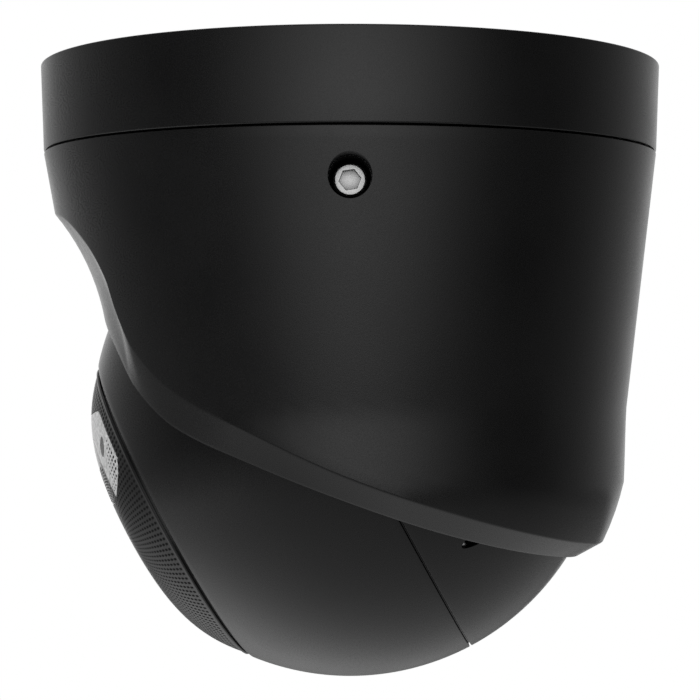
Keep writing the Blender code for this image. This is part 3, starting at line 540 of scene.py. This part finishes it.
def outside_radius(height, angle):
    """The shroud's outer radius; angle runs from +X, so the front is at -90 degrees."""
    front = max(0.0, -sin(angle)) ** 2
    drop = SHROUD_TOP - max(height, WAIST)
    radius = SHROUD_TOP_RADIUS - (CONE_SLOPE + FRONT_SLOPE * front) * drop
    if height < WAIST:
        down = min((WAIST - height) / (WAIST - TUCK), 1.0)
        radius += (TUCK_RADIUS - radius) * down
    if height < TUCK:
        radius = sqrt(SHROUD_SPHERE ** 2 - (height - BALL_Z) ** 2)
    return radius


def lip_outer(angle):
    """Radius and height of the lip's outer edge."""
    height = LIP_OUTER[len(LIP_OUTER) // 2][1]
    for _ in range(40):
        radius = outside_radius(height, angle)
        height += 0.5 * (along(LIP_OUTER, radius * sin(angle)) - height)
    return outside_radius(height, angle), height


def lip_inner(angle):
    """Radius and height of the lip's inner edge, on a sphere about the ball."""
    height = BALL_Z
    for _ in range(40):
        radius = sqrt(LIP_SPHERE ** 2 - (height - BALL_Z) ** 2)
        height += 0.5 * (along(LIP_INNER, radius * sin(angle)) - height)
    return sqrt(LIP_SPHERE ** 2 - (height - BALL_Z) ** 2), height


def liner_start(angle):
    """Elevation at which the tilted liner begins, seen from the ball's centre."""
    a = sin(angle) * sin(LINER_TILT)
    b = cos(LINER_TILT)
    return asin(sin(LINER_LOW - LINER_MARGIN) / hypot(a, b)) - atan2(a, b)


def elevation(point):
    return atan2(point[1] - BALL_Z, point[0])


def reach(outline, angle):
    """Distance from the ball's centre to an outline of (radius, height) points at an elevation."""
    for near, far in zip(outline, outline[1:]):
        low, high = elevation(near), elevation(far)
        if low <= angle <= high:
            t = (angle - low) / max(high - low, 1e-9)
            return hypot(near[0] + t * (far[0] - near[0]), near[1] + t * (far[1] - near[1]) - BALL_Z)
    return hypot(outline[-1][0], outline[-1][1] - BALL_Z)


def lip_curve(outer, inner, count):
    """The lip from its outer to its inner edge: flat where narrow, a cove under the hood."""
    width = hypot(outer[0] - inner[0], outer[1] - inner[1])
    hollow = COVE * max(0.0, width - PLAIN_LIP) ** 2 / width
    across = ((inner[0] - outer[0]) / width, (inner[1] - outer[1]) / width)
    middle = ((outer[0] + inner[0]) / 2 + hollow * across[1],
              (outer[1] + inner[1]) / 2 - hollow * across[0])
    return [tuple((1 - t) ** 2 * outer[k] + 2 * t * (1 - t) * middle[k] + t * t * inner[k] for k in (0, 1))
            for t in (i / count for i in range(count + 1))]


def rounded_corner(before, corner, after, size, points):
    """The short curve that replaces one corner of an outline, always with the same point count."""
    at = Vector(corner)
    start = at + (Vector(before) - at).normalized() * size
    end = at + (Vector(after) - at).normalized() * size
    return [tuple(start * (1 - t) ** 2 + at * 2 * t * (1 - t) + end * t * t)
            for t in (i / points for i in range(points + 1))]


def shroud_section(angle, wall_rows=26, lip_rows=10, seat_rows=3, inner_rows=6):
    """One closed outline (radius, height) of the shroud in the half-plane at this angle."""
    outer = lip_outer(angle)
    inner = lip_inner(angle)
    wall = []
    for i in range(wall_rows + 1):
        height = SHROUD_TOP + (outer[1] - SHROUD_TOP) * i / wall_rows
        wall.append((outside_radius(height, angle), height))
    lip = lip_curve(outer, inner, lip_rows)
    outline = list(reversed(wall + lip[1:]))
    edge = elevation(inner) + radians(1.2)
    step = liner_start(angle)
    top_point = (outside_radius(SHROUD_CEILING, angle) - WALL, SHROUD_CEILING)
    top = elevation(top_point)
    inside = [(THROAT_SPHERE, edge + (step - edge) * i / seat_rows) for i in range(seat_rows + 1)]
    inside.append((LINER_POCKET, step + radians(0.05)))
    shelf = step + LINER_HIGH - LINER_LOW + 2 * LINER_MARGIN
    stops = [step + (shelf - step) * i / 2 for i in (1, 2)]
    stops += [shelf + (top - shelf) * i / inner_rows for i in range(1, inner_rows)]
    for at in stops:
        inside.append((max(LINER_POCKET, reach(outline, at) - WALL), at))
    hollow = [(distance * cos(at), BALL_Z + distance * sin(at)) for distance, at in inside]
    neck = [(NECK_INSIDE, SHROUD_CEILING), (NECK_INSIDE, NECK_TOP), (NECK_OUTSIDE, NECK_TOP),
            (NECK_OUTSIDE, SHROUD_TOP)]
    top_edge = rounded_corner(neck[-1], wall[0], wall[1], 0.25 * MM, 3)
    outer_edge = rounded_corner(wall[-2], wall[-1], lip[1], 0.22 * MM, 4)
    inner_edge = rounded_corner(lip[-2], lip[-1], hollow[0], 0.2 * MM, 3)
    return top_edge + wall[1:-1] + outer_edge + lip[1:-1] + inner_edge + hollow + [top_point] + neck


def even_angles(count):
    """Angles that space the sections evenly along the lip, where it dives under the hood."""
    fine = 1440
    angles = [-pi / 2 + 2 * pi * i / fine for i in range(fine + 1)]
    edge = [Vector(polar(lip_outer(a)[0], a, lip_outer(a)[1])) for a in angles]
    lengths = [0.0]
    for before, after in zip(edge, edge[1:]):
        lengths.append(lengths[-1] + (after - before).length)
    chosen = []
    k = 0
    for i in range(count):
        target = lengths[-1] * i / count
        while lengths[k + 1] < target:
            k += 1
        share = (target - lengths[k]) / (lengths[k + 1] - lengths[k])
        chosen.append(angles[k] + share * (angles[k + 1] - angles[k]))
    return chosen


def shroud_mesh(sections_round):
    builder = bmesh.new()
    rings = []
    for angle in even_angles(sections_round):
        rings.append([builder.verts.new(polar(r, angle, z)) for r, z in shroud_section(angle)])
    for i, ring in enumerate(rings):
        stitch(builder, ring, rings[(i + 1) % len(rings)])
    bmesh.ops.recalc_face_normals(builder, faces=builder.faces)
    return builder


def make_shroud():
    shroud = object_from(shroud_mesh(300), "shroud_skin", sharp=30.0)
    lock = Matrix.Translation((0.0, 0.0, LOCK_Z)) @ FACING_X
    cuts = []
    for i in range(3):
        ring_spot = Matrix.Translation(polar(RING_SCREW_CIRCLE, radians(120 * i)))
        ring_hole = drum_profile(NECK_SCREW_HOLE, SHROUD_CEILING + 0.5 * MM, -8 * MM)
        cuts.append(cutter(f"ring_hole_{i}", ring_hole, 24, ring_spot))
        clamp_spot = Matrix.Translation(polar(CLAMP_SCREW_CIRCLE, radians(60 + 120 * i)))
        clamp_hole = drum_profile(NECK_SCREW_HOLE, -31 * MM, -13.4 * MM)
        cuts.append(cutter(f"clamp_hole_{i}", clamp_hole, 24, clamp_spot))
    combine(shroud, cuts)
    combine(shroud, [cutter("lock_boss", drum_profile(LOCK_BOSS_RADIUS, LOCK_BOSS_END, 52.4 * MM), 64,
                            lock)], "UNION")
    surface = outside_radius(LOCK_Z, 0.0)
    mouth = LOCK_RECESS_RADIUS + 0.22 * MM
    bottom = LOCK_FACE_X - 2.6 * MM
    outside = 60 * MM
    recess = [(0.0, outside), (mouth + 6 * MM, outside), (mouth, surface),
              (LOCK_RECESS_RADIUS, surface - 0.35 * MM), (LOCK_RECESS_RADIUS, bottom), (0.0, bottom)]
    combine(shroud, [cutter("lock_recess", recess, 96, lock),
                     cutter("lock_thread", drum_profile(1.8 * MM, 40 * MM, 50 * MM), 32, lock)])
    dressed(shroud, "shroud", FINISH["satin_black_paint"], ["shroud_shell"])
    # Faces inside the lock screw's recess take a near-black finish: painted shade where the recess lies in
    # shadow.
    shroud.data.materials.append(FINISH["painted_recess_shade"])
    for face in shroud.data.polygons:
        x, y, z = face.center
        if LOCK_BOSS_END < x < surface - 0.3 * MM and hypot(y, z - LOCK_Z) < LOCK_RECESS_RADIUS + 0.02 * MM:
            face.material_index = 1
    socket_screw("lock_screw_skin", (2.7 * MM, 2.3 * MM), (1.45 * MM, 3.6 * MM), (3.0 * MM, 1.6 * MM),
                 Matrix.Translation((LOCK_FACE_X, 0.0, LOCK_Z)) @ FACING_X @ LOCK_TURN, "shroud",
                 ["lock_screw"])


def socket_screw(name, head, shank, socket, place, body, stands_for):
    """A turned screw with a rounded head, a dished face and a deep hexagonal socket."""
    head_radius, head_height = head
    shank_radius, shank_length = shank
    across_flats, depth = socket
    profile = [(0.0, 0.0), (head_radius - 0.3 * MM, 0.0), (head_radius, -0.3 * MM),
               (head_radius, -head_height), (shank_radius, -head_height),
               (shank_radius, -head_height - shank_length), (0.0, -head_height - shank_length)]
    screw = turned(name, profile, 64, place, 0.12 * MM)
    point = across_flats / sqrt(3.0)
    hexagon = [(0.0, 1 * MM), (point + 0.9 * MM, 1 * MM), (point + 0.12 * MM, 0.05 * MM),
               (point, -0.14 * MM), (point, -depth), (0.0, -depth - 0.5 * MM)]
    combine(screw, [cutter(name + "_socket", hexagon, 6, place)])
    return dressed(screw, body, FINISH["stainless_steel"], stands_for)


# ---------------------------------------------------------------- ball

def make_shells():
    collar_top = sqrt(SHELL_INSIDE ** 2 - (SHELL_COLLAR - 0.5 * MM) ** 2)
    flange_back = 31.5 * MM
    step = 34.5 * MM
    bevel = 0.2 * MM
    front_edge = (sqrt(BALL_RADIUS ** 2 - SHELL_FRONT ** 2) - bevel, SHELL_FRONT)
    outer_front = [front_edge] + arc_points(BALL_RADIUS, asin((SHELL_FRONT - bevel) / BALL_RADIUS),
                                            asin(SEAM_HALF / BALL_RADIUS), 40)
    inner_front = arc_points(SHELL_INSIDE, asin(collar_top / SHELL_INSIDE),
                             asin(flange_back / SHELL_INSIDE), 8)
    front_profile = outer_front + [
        (SEAL_OUTER, SEAM_HALF), (SEAL_OUTER, SEAL_DEPTH), (SEAL_INNER, SEAL_DEPTH),
        (SEAL_INNER, SEAM_HALF), (SHELL_COLLAR, SEAM_HALF), (SHELL_COLLAR, 10 * MM),
        (step, 10 * MM), (step, 14 * MM)] + inner_front + [
        (25.5 * MM, flange_back), (25.5 * MM, 33 * MM), (COVER_SEAT, 33 * MM), (COVER_SEAT, SHELL_FRONT)]
    front = turned("ball_front_shell_skin", front_profile, 256, BALL_FRAME, 0.12 * MM)

    well_back = 13 * MM
    tongue = [(SEAM_TONGUE - 1.0 * MM, -SEAM_HALF), (SEAM_TONGUE - 1.0 * MM, SEAM_HALF - 0.05 * MM),
              (SEAM_TONGUE, SEAM_HALF - 0.05 * MM), (SEAM_TONGUE, -SEAM_HALF)]
    outer_rear = arc_points(BALL_RADIUS, -asin(SEAM_HALF / BALL_RADIUS),
                            -acos(WELL_RADIUS / BALL_RADIUS), 48)
    inner_rear = arc_points(SHELL_INSIDE, -acos(well_back / SHELL_INSIDE),
                            -acos(SHELL_COLLAR / SHELL_INSIDE), 10)
    rear_profile = outer_rear + [
        (WELL_RADIUS, WELL_FLOOR), (BUSH_HOLE, WELL_FLOOR), (BUSH_HOLE, WELL_INSIDE),
        (well_back, WELL_INSIDE)] + inner_rear + [
        (SHELL_COLLAR, -SEAM_HALF), (SEAL_INNER, -SEAM_HALF), (SEAL_INNER, -SEAL_DEPTH),
        (SEAL_OUTER, -SEAL_DEPTH), (SEAL_OUTER, -SEAM_HALF)] + tongue
    rear = turned("ball_rear_shell_skin", rear_profile, 256, BALL_FRAME, 0.12 * MM)
    pockets, holes = [], []
    for i, angle in enumerate(POCKET_ANGLES):
        spot = polar(POCKET_CIRCLE, radians(angle))
        place = BALL_FRAME @ Matrix.Translation(spot)
        pocket = drum_profile(POCKET_RADIUS, -30 * MM, POCKET_FLOOR)
        bore = drum_profile(SHELL_SCREW_HOLE, POCKET_FLOOR - 1 * MM, 7 * MM)
        pockets.append(cutter(f"pocket_{i}", pocket, 48, place))
        pockets.append(cutter(f"bore_{i}", bore, 24, place))
        holes.append(cutter(f"thread_{i}", bore, 24, place))
        seat = Matrix.Translation((spot[0], spot[1], POCKET_FLOOR - GAP - SHELL_SCREW_HEAD[1]))
        socket_screw(f"shell_screw_{i + 1}_skin", SHELL_SCREW_HEAD, (0.8 * MM, 11.5 * MM),
                     (1.5 * MM, 0.8 * MM), BALL_FRAME @ seat @ Matrix.Rotation(pi, 4, "X"), "ball",
                     [f"shell_screw_{i + 1}"])
    for i in range(3):
        rim_place = BALL_FRAME @ Matrix.Translation(polar(36.1 * MM, radians(-30 + 120 * i)))
        holes.append(cutter(f"rim_{i}", drum_profile(1.2 * MM, 6 * MM, 13 * MM), 24, rim_place))
    dressed(combine(front, holes), "ball", FINISH["satin_black_paint"],
            ["ball_front_shell"])
    dressed(combine(rear, pockets), "ball", FINISH["satin_black_paint"],
            ["ball_rear_shell"])


def dome_height(radius):
    return DOME_APEX - DOME_DROP * (min(radius, DOME_EDGE) / DOME_EDGE) ** DOME_POWER


def on_dome(x, y, lift=0.0):
    return Vector((x, y, dome_height(hypot(x, y)) + lift))


def window_outline(offset, side_steps=40, end_steps=40):
    """The window's outline, moved outwards by offset: a pill whose ends stop at a circle, eased."""
    end = WINDOW_HALF_LENGTH - WINDOW_HALF_HEIGHT
    radius = WINDOW_HALF_HEIGHT + offset
    limit = WINDOW_RING + offset
    right = [(end + radius * sin(pi * i / end_steps), -radius * cos(pi * i / end_steps))
             for i in range(end_steps)]
    top = [(end - 2 * end * i / side_steps, radius) for i in range(side_steps)]
    points = []
    for x, y in right + top + [(-x, -y) for x, y in right + top]:
        y += WINDOW_Y
        distance = hypot(x, y)
        if distance > limit:
            x, y = x * limit / distance, y * limit / distance
        points.append((x, y))
    for _ in range(EASING_PASSES):
        around = zip(points[-1:] + points[:-1], points, points[1:] + points[:1])
        points = [tuple(0.25 * a[k] + 0.5 * b[k] + 0.25 * c[k] for k in (0, 1)) for a, b, c in around]
    return points


def inside_window(x, y, margin):
    """Whether a point is inside the window's outline by more than the margin."""
    end = WINDOW_HALF_LENGTH - WINDOW_HALF_HEIGHT
    to_pill = WINDOW_HALF_HEIGHT - hypot(max(abs(x) - end, 0.0), y - WINDOW_Y)
    return min(to_pill, WINDOW_RING - hypot(x, y)) > margin


def outline_prism(name, offset, low, high, place):
    builder = bmesh.new()
    rows = [[builder.verts.new((x, y, z)) for x, y in window_outline(offset)] for z in (low, high)]
    stitch(builder, *rows)
    builder.faces.new(rows[0])
    builder.faces.new(rows[1])
    bmesh.ops.recalc_face_normals(builder, faces=builder.faces)
    return object_from(builder, name, place)


def dome_slope(radius):
    return DOME_DROP * DOME_POWER / DOME_EDGE * (radius / DOME_EDGE) ** (DOME_POWER - 1.0)


def ring_step(radius):
    """Radial distance between rings of dots, which are evenly spaced along the dome."""
    return DOT_PITCH / hypot(1.0, dome_slope(radius))


def dot_rings():
    """(radius, dots round) of each ring of dots: the count halves where the dots would crowd."""
    rings = []
    radius, count = DOT_OUTER_RING, DOT_SPOKES
    while radius > 0.6 * DOT_PITCH:
        if 2 * pi * radius / count < 0.5 * DOT_PITCH and count > 11:
            count //= 2
        rings.append((radius, count))
        radius -= ring_step(radius)
    return rings


def dot_radius(ring_radius, count):
    return 0.30 * min(2 * pi * ring_radius / count, DOT_PITCH)


def dimpled_cell(builder, ring, spoke, count, corners, dot, deep):
    """The faces of one cell: its border, a round dimple and the dimple's wall."""
    angle = 2 * pi * (spoke + 0.5) / count
    centre = Vector((ring * cos(angle), ring * sin(angle), 0.0))
    rim = []
    for corner in corners:
        towards = Vector((corner.co.x, corner.co.y, 0.0)) - centre
        spot = centre + towards.normalized() * dot
        rim.append(builder.verts.new(on_dome(spot.x, spot.y)))
    floor = builder.verts.new(on_dome(centre.x, centre.y, -deep))
    total = len(corners)
    for i in range(total):
        j = (i + 1) % total
        builder.faces.new((corners[i], corners[j], rim[j], rim[i]))
        hollow = builder.faces.new((rim[i], rim[j], floor))
        hollow.material_index = 1


def cover_mesh():
    """The dome with a real dimple for each dot, closed by its rim and its underside."""
    builder = bmesh.new()
    rings = dot_rings()
    borders = []
    counts = [count for _, count in rings]
    for i in range(len(rings) + 1):
        if i < len(rings):
            radius = rings[i][0] + ring_step(rings[i][0]) / 2
        else:
            radius = rings[-1][0] - DOT_PITCH / 2
        around = max(counts[max(i - 1, 0)], counts[min(i, len(rings) - 1)]) * 2
        borders.append([builder.verts.new(on_dome(*polar(radius, 2 * pi * k / around)[:2]))
                        for k in range(around)])
    for i, (radius, count) in enumerate(rings):
        outer, inner = borders[i], borders[i + 1]
        dot = dot_radius(radius, count)
        for spoke in range(count):
            wide, narrow = len(outer) // count, len(inner) // count
            far = [outer[(spoke * wide + k) % len(outer)] for k in range(wide + 1)]
            near = [inner[(spoke * narrow + k) % len(inner)] for k in range(narrow, -1, -1)]
            dimpled_cell(builder, radius, spoke, count, far + near, dot, min(DOT_DEPTH, 1.1 * dot))
    builder.faces.new(borders[-1])

    upper = borders[0]
    steps = len(upper)
    rim_top = [(COVER_RADIUS - inward * MM, COVER_UNDERSIDE + up * MM) for inward, up in COVER_EDGE]
    under = [(COVER_RIM_INSIDE, COVER_UNDERSIDE)]
    under += [(r * MM, dome_height(r * MM) - COVER_WALL) for r in (27.75, 25.5, 22.0, 17.0, 11.0, 5.0)]
    for radius, height in rim_top + under:
        lower = [builder.verts.new(polar(radius, 2 * pi * k / steps, height)) for k in range(steps)]
        stitch(builder, upper, lower)
        upper = lower
    builder.faces.new(upper)
    bmesh.ops.recalc_face_normals(builder, faces=builder.faces)
    return builder


def make_cover():
    cover = object_from(cover_mesh(), "front_cover_skin", BALL_FRAME, 30.0)
    for finish_used in (FINISH["dotted_cover"], FINISH["dot_inside"]):
        cover.data.materials.append(finish_used)
    combine(cover, [outline_prism("window_opening", WINDOW_JOINT, *FRONT_CUT, BALL_FRAME)])
    dressed(cover, "ball", None, ["front_cover"])


def domed_plate(name, lift, edge):
    """A plate that follows the dome inside the window's outline, with a rounded upper edge."""
    builder = bmesh.new()
    shares = (0.12, 0.26, 0.4, 0.54, 0.68, 0.8, 0.9, 0.97)
    under, top = window_outline(0.0), window_outline(-edge)
    bottom = lift - WINDOW_THICKNESS
    rows = [[(x * share, WINDOW_Y + (y - WINDOW_Y) * share, bottom) for x, y in under]
            for share in shares]
    rows.append([(x, y, bottom) for x, y in under])
    for inward, drop in ((0.0, 1.1 * edge), (0.25 * edge, 0.4 * edge), (edge, 0.0)):
        rows.append([(x, y, lift - drop) for x, y in window_outline(-inward)])
    rows += [[(x * share, WINDOW_Y + (y - WINDOW_Y) * share, lift) for x, y in top]
             for share in reversed(shares)]
    rings = [[builder.verts.new(on_dome(*spot)) for spot in row] for row in rows]
    count = len(rings[0])
    for upper, lower in zip(rings, rings[1:]):
        stitch(builder, upper, lower)
    for ring, height in ((rings[0], bottom), (rings[-1], lift)):
        pole = builder.verts.new(on_dome(0.0, WINDOW_Y, height))
        for i in range(count):
            builder.faces.new((ring[i], ring[(i + 1) % count], pole))
    bmesh.ops.recalc_face_normals(builder, faces=builder.faces)
    return object_from(builder, name, BALL_FRAME, 40.0)


def round_cutter(name, x, y, width, height):
    """An elliptical drum along the optical axis, through the window."""
    shape = Matrix.Translation((x, y, 0.0)) @ Matrix.Diagonal((width / 2, height / 2, 1.0, 1.0))
    return cutter(name, drum_profile(1.0, *FRONT_CUT), 96, BALL_FRAME @ shape)


def make_window():
    """A flush pill: glossy black in its middle, pale at its ends, clear over the lens."""
    lens = 2 * LENS_WINDOW_RADIUS
    inserts = [("lens", 0.0, WINDOW_Y, lens, lens)]
    inserts += [(side, x, FILTER_Y, FILTER_WIDTH, FILTER_HEIGHT)
                for side, x in (("left", -FILTER_X), ("right", FILTER_X))]
    plates = [("front_window_skin", "INTERSECT", "gloss_black_window", "window_black", ["front_window"]),
              ("window_ends", "DIFFERENCE", "reflector_silver", "window_pale", [])]
    for name, operation, slot, look, stands_for in plates:
        plate = domed_plate(name, 0.0, WINDOW_EDGE)
        combine(plate, [cutter(f"{name}_limit", drum_profile(PALE_START, *FRONT_CUT), 128, BALL_FRAME)],
                operation)
        combine(plate, [round_cutter(f"{name}_{part}", x, y, width, height)
                        for part, x, y, width, height in inserts])
        dressed(plate, "ball", FINISH[look], stands_for)
    for part, x, y, width, height in inserts:
        insert = domed_plate(f"window_insert_{part}", INSERT_LIFT, INSERT_EDGE)
        combine(insert, [round_cutter(f"insert_{part}_limit", x, y, width - WINDOW_JOINT,
                                      height - WINDOW_JOINT)], "INTERSECT")
        look = "window_clear" if part == "lens" else "infrared_filter"
        dressed(insert, "ball", FINISH[look])


def printed_share(x, y):
    """Size of a printed dot on the window: full at its ends and below, nothing over the lens."""
    if hypot(x, y) < PALE_START - 0.3 * MM:
        clear_of_lens = hypot(x, y - WINDOW_Y) > LENS_WINDOW_RADIUS + 1.2 * MM
        return 1.0 if clear_of_lens and y < WINDOW_Y - 1.2 * MM else 0.0
    from_end = (abs(x) - DOT_FADE_START) / DOT_FADE
    from_below = (WINDOW_Y - WINDOW_HALF_HEIGHT + DOT_FADE - y) / DOT_FADE
    return min(1.0, max(from_end, from_below))


def make_window_dots():
    """Thin printed dots on the window, in line with the cover's dimples."""
    builder = bmesh.new()
    sides = 8
    for radius, count in dot_rings():
        for spoke in range(count):
            angle = 2 * pi * (spoke + 0.5) / count
            x, y = radius * cos(angle), radius * sin(angle)
            share = printed_share(x, y)
            if share < 0.2 or not inside_window(x, y, 0.35 * MM):
                continue
            size = dot_radius(radius, count) * (0.4 + 0.6 * share)
            rims = []
            for lift in (0.004 * MM, 0.02 * MM):
                rims.append([builder.verts.new(on_dome(x + size * cos(2 * pi * k / sides),
                                                       y + size * sin(2 * pi * k / sides), lift))
                             for k in range(sides)])
            builder.faces.new(rims[1])
            builder.faces.new(list(reversed(rims[0])))
            stitch(builder, rims[1], rims[0])
    dots = object_from(builder, "window_dots", BALL_FRAME)
    dressed(dots, "ball", FINISH["dot_inside"])


def make_optics():
    lens_place = BALL_FRAME @ Matrix.Translation((0.0, WINDOW_Y, 0.0))
    barrel = in_mm((7.2, 38.3), (7.2, 30), (6.3, 30), (6.3, 17), (4.0, 17), (4.0, 35.4), (5.9, 36.3),
                   (6.3, 38.3))
    turned_piece("lens_barrel", "ball", "black_plastic", barrel, 96, lens_place, 0.15 * MM)
    glass = in_mm((0.0, 39.4), (1.5, 39.28), (3.0, 38.9), (4.2, 38.35), (5.2, 37.6), (5.2, 36.7),
                  (0.0, 36.7))
    turned_piece("lens_glass", "ball", "lens_glass", glass, 96, lens_place, 0.1 * MM)
    baffle = in_mm((9.2, 37.6), (9.2, 29), (7.6, 29), (7.6, 37.6))
    turned_piece("light_baffle", "ball", "black_rubber", baffle, 96, lens_place, 0.3 * MM)
    cup = in_mm((2.75, 35.5), (2.75, 29.0), (2.1, 29.0), (2.3, 32.0), (2.45, 35.5))
    emitter = in_mm((0.0, 31.6), (0.7, 31.5), (1.2, 31.2), (1.6, 30.7), (1.8, 30.0), (1.8, 29.0),
                    (0.0, 29.0))
    for side, x in (("left", -LED_X), ("right", LED_X)):
        place = BALL_FRAME @ Matrix.Translation((x, LED_Y, 0.0))
        turned_piece(f"ir_reflector_{side}", "ball", "reflector_silver", cup, 64, place, 0.1 * MM)
        turned_piece(f"ir_led_{side}", "ball", "lens_glass", emitter, 48, place, 0.0)


# ---------------------------------------------------------------- the CAD nodes that stay

def dress_cad_nodes():
    """Gives every CAD node that still shows the finish of its material slot."""
    slots = {"bright_steel": "stainless_steel", "green_board": "circuit_board"}
    for name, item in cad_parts.items():
        if item.hide_render:
            continue
        for place in item.material_slots:
            known = place.material.name.split(".")[0]
            known = slots.get(known, known)
            place.material = FINISH.get(known, FINISH["black_plastic"])


# ---------------------------------------------------------------- stage, light and camera

def make_floor():
    """A pale floor below the hanging camera: white to look at, a soft pool of light to everything else."""
    builder = bmesh.new()
    bmesh.ops.create_grid(builder, x_segments=8, y_segments=8, size=FLOOR_HALF)
    floor = object_from(builder, "floor", Matrix.Translation((0.0, 0.0, FLOOR_Z)))
    material = finish("pale_floor", (0.30, 0.30, 0.30), (0.32, 0.32, 0.32), 0.9, 3.0, 0.02, blotch_mm=400.0)
    tree = material.node_tree
    shader = tree.nodes["Principled BSDF"]
    shader.inputs["Specular IOR Level"].default_value = 0.0
    place = node(tree, "ShaderNodeTexCoord")
    away = node(tree, "ShaderNodeVectorMath", operation="DISTANCE")
    away.inputs[1].default_value = FLOOR_POOL
    tree.links.new(place.outputs["Object"], away.inputs[0])
    share = remapped(tree, away.outputs["Value"], (0.0, FLOOR_HALF), (0.0, 1.0))
    pool = ramp_node(tree, [(0.0, 0.80), (0.08, 0.70), (0.14, 0.54), (0.19, 0.40), (0.25, 0.29),
                            (0.32, 0.22), (0.40, 0.18), (0.58, 0.12), (0.80, 0.07), (1.0, 0.04)])
    tree.links.new(share, pool.inputs["Fac"])
    path = node(tree, "ShaderNodeLightPath")
    glow = node(tree, "ShaderNodeMath", operation="MAXIMUM")
    tree.links.new(pool.outputs["Color"], glow.inputs[0])
    tree.links.new(path.outputs["Is Camera Ray"], glow.inputs[1])
    shader.inputs["Emission Color"].default_value = (1.0, 1.0, 1.0, 1.0)
    tree.links.new(glow.outputs["Value"], shader.inputs["Emission Strength"])
    floor.data.materials.append(material)


def area_light(name, place, target, size, power):
    light = bpy.data.lights.new(name, "AREA")
    light.shape = "RECTANGLE"
    light.size, light.size_y = size
    light.energy = power
    item = bpy.data.objects.new(name, light)
    item.location = place
    item.rotation_mode = "QUATERNION"
    item.rotation_quaternion = (Vector(target) - Vector(place)).to_track_quat("-Z", "Y")
    bpy.context.scene.collection.objects.link(item)
    return item


def ramp_node(tree, stops):
    """A colour ramp of greys from (position, level) stops."""
    ramp = node(tree, "ShaderNodeValToRGB")
    ramp.color_ramp.elements[0].position = stops[0][0]
    ramp.color_ramp.elements[1].position = stops[-1][0]
    for position, _ in stops[1:-1]:
        ramp.color_ramp.elements.new(position)
    for element, (_, level) in zip(ramp.color_ramp.elements, stops):
        element.color = (level, level, level, 1.0)
    return ramp


def make_world():
    """White to look at; as a light, brightest behind the object and behind the camera."""
    world = bpy.data.worlds.new("studio")
    bpy.context.scene.world = world
    world.use_nodes = True
    tree = world.node_tree
    tree.nodes.clear()
    place = node(tree, "ShaderNodeTexCoord")
    turn = node(tree, "ShaderNodeMapping")
    turn.inputs["Rotation"].default_value = (0.0, 0.0, radians(-1.5))
    tree.links.new(place.outputs["Generated"], turn.inputs["Vector"])
    apart = node(tree, "ShaderNodeSeparateXYZ")
    tree.links.new(turn.outputs["Vector"], apart.inputs["Vector"])
    share = remapped(tree, apart.outputs["X"], (-1.0, 1.0), (0.0, 1.0))
    ramp = ramp_node(tree, [(0.0, 1.12), (0.05, 0.66), (0.12, 0.42), (0.24, 0.29), (0.35, 0.21),
                            (0.45, 0.15), (0.58, 0.08), (0.73, 0.06), (0.82, 0.14), (0.915, 0.46),
                            (0.973, 0.90), (1.0, 1.25)])
    tree.links.new(share, ramp.inputs["Fac"])
    lit = node(tree, "ShaderNodeBackground")
    tree.links.new(ramp.outputs["Color"], lit.inputs["Color"])
    seen = node(tree, "ShaderNodeBackground")
    seen.inputs["Color"].default_value = (1.0, 1.0, 1.0, 1.0)
    path = node(tree, "ShaderNodeLightPath")
    mix = node(tree, "ShaderNodeMixShader")
    tree.links.new(path.outputs["Is Camera Ray"], mix.inputs["Fac"])
    tree.links.new(lit.outputs["Background"], mix.inputs[1])
    tree.links.new(seen.outputs["Background"], mix.inputs[2])
    out = node(tree, "ShaderNodeOutputWorld")
    tree.links.new(mix.outputs["Shader"], out.inputs["Surface"])


def make_lights():
    area_light("overhead", (0.0, 0.0, 2.2), (0.0, 0.0, 0.0), (3.0, 3.0), 18.0)
    for name, place, target, size, power in (
            ("front_fill", (0.3, -1.5, -0.1), (0.0, 0.0, -0.08), (1.5, 1.5), 15.0),
            ("floor_behind", (-1.0, 0.0, 0.3), (-1.0, 0.0, FLOOR_Z), (1.2, 2.0), 8.0)):
        fill = area_light(name, place, target, size, power)
        fill.visible_glossy = False


def make_camera():
    """Exactly side-on, at the height of the shroud's middle."""
    camera = bpy.data.cameras.new("camera")
    camera.lens = 106.67
    camera.sensor_width = 36.0
    camera.clip_start = 0.01
    camera.clip_end = 200.0
    item = bpy.data.objects.new("camera", camera)
    item.location = (0.373145, 0.0, -0.0501)
    item.rotation_euler = (pi / 2, 0.0, pi / 2)
    bpy.context.scene.collection.objects.link(item)
    bpy.context.scene.camera = item


make_camera()
make_base()
make_shroud()
make_shells()
make_cover()
make_window()
make_window_dots()
make_optics()
dress_cad_nodes()
make_floor()
make_world()
make_lights()
bpy.context.scene.view_settings.view_transform = "Standard"
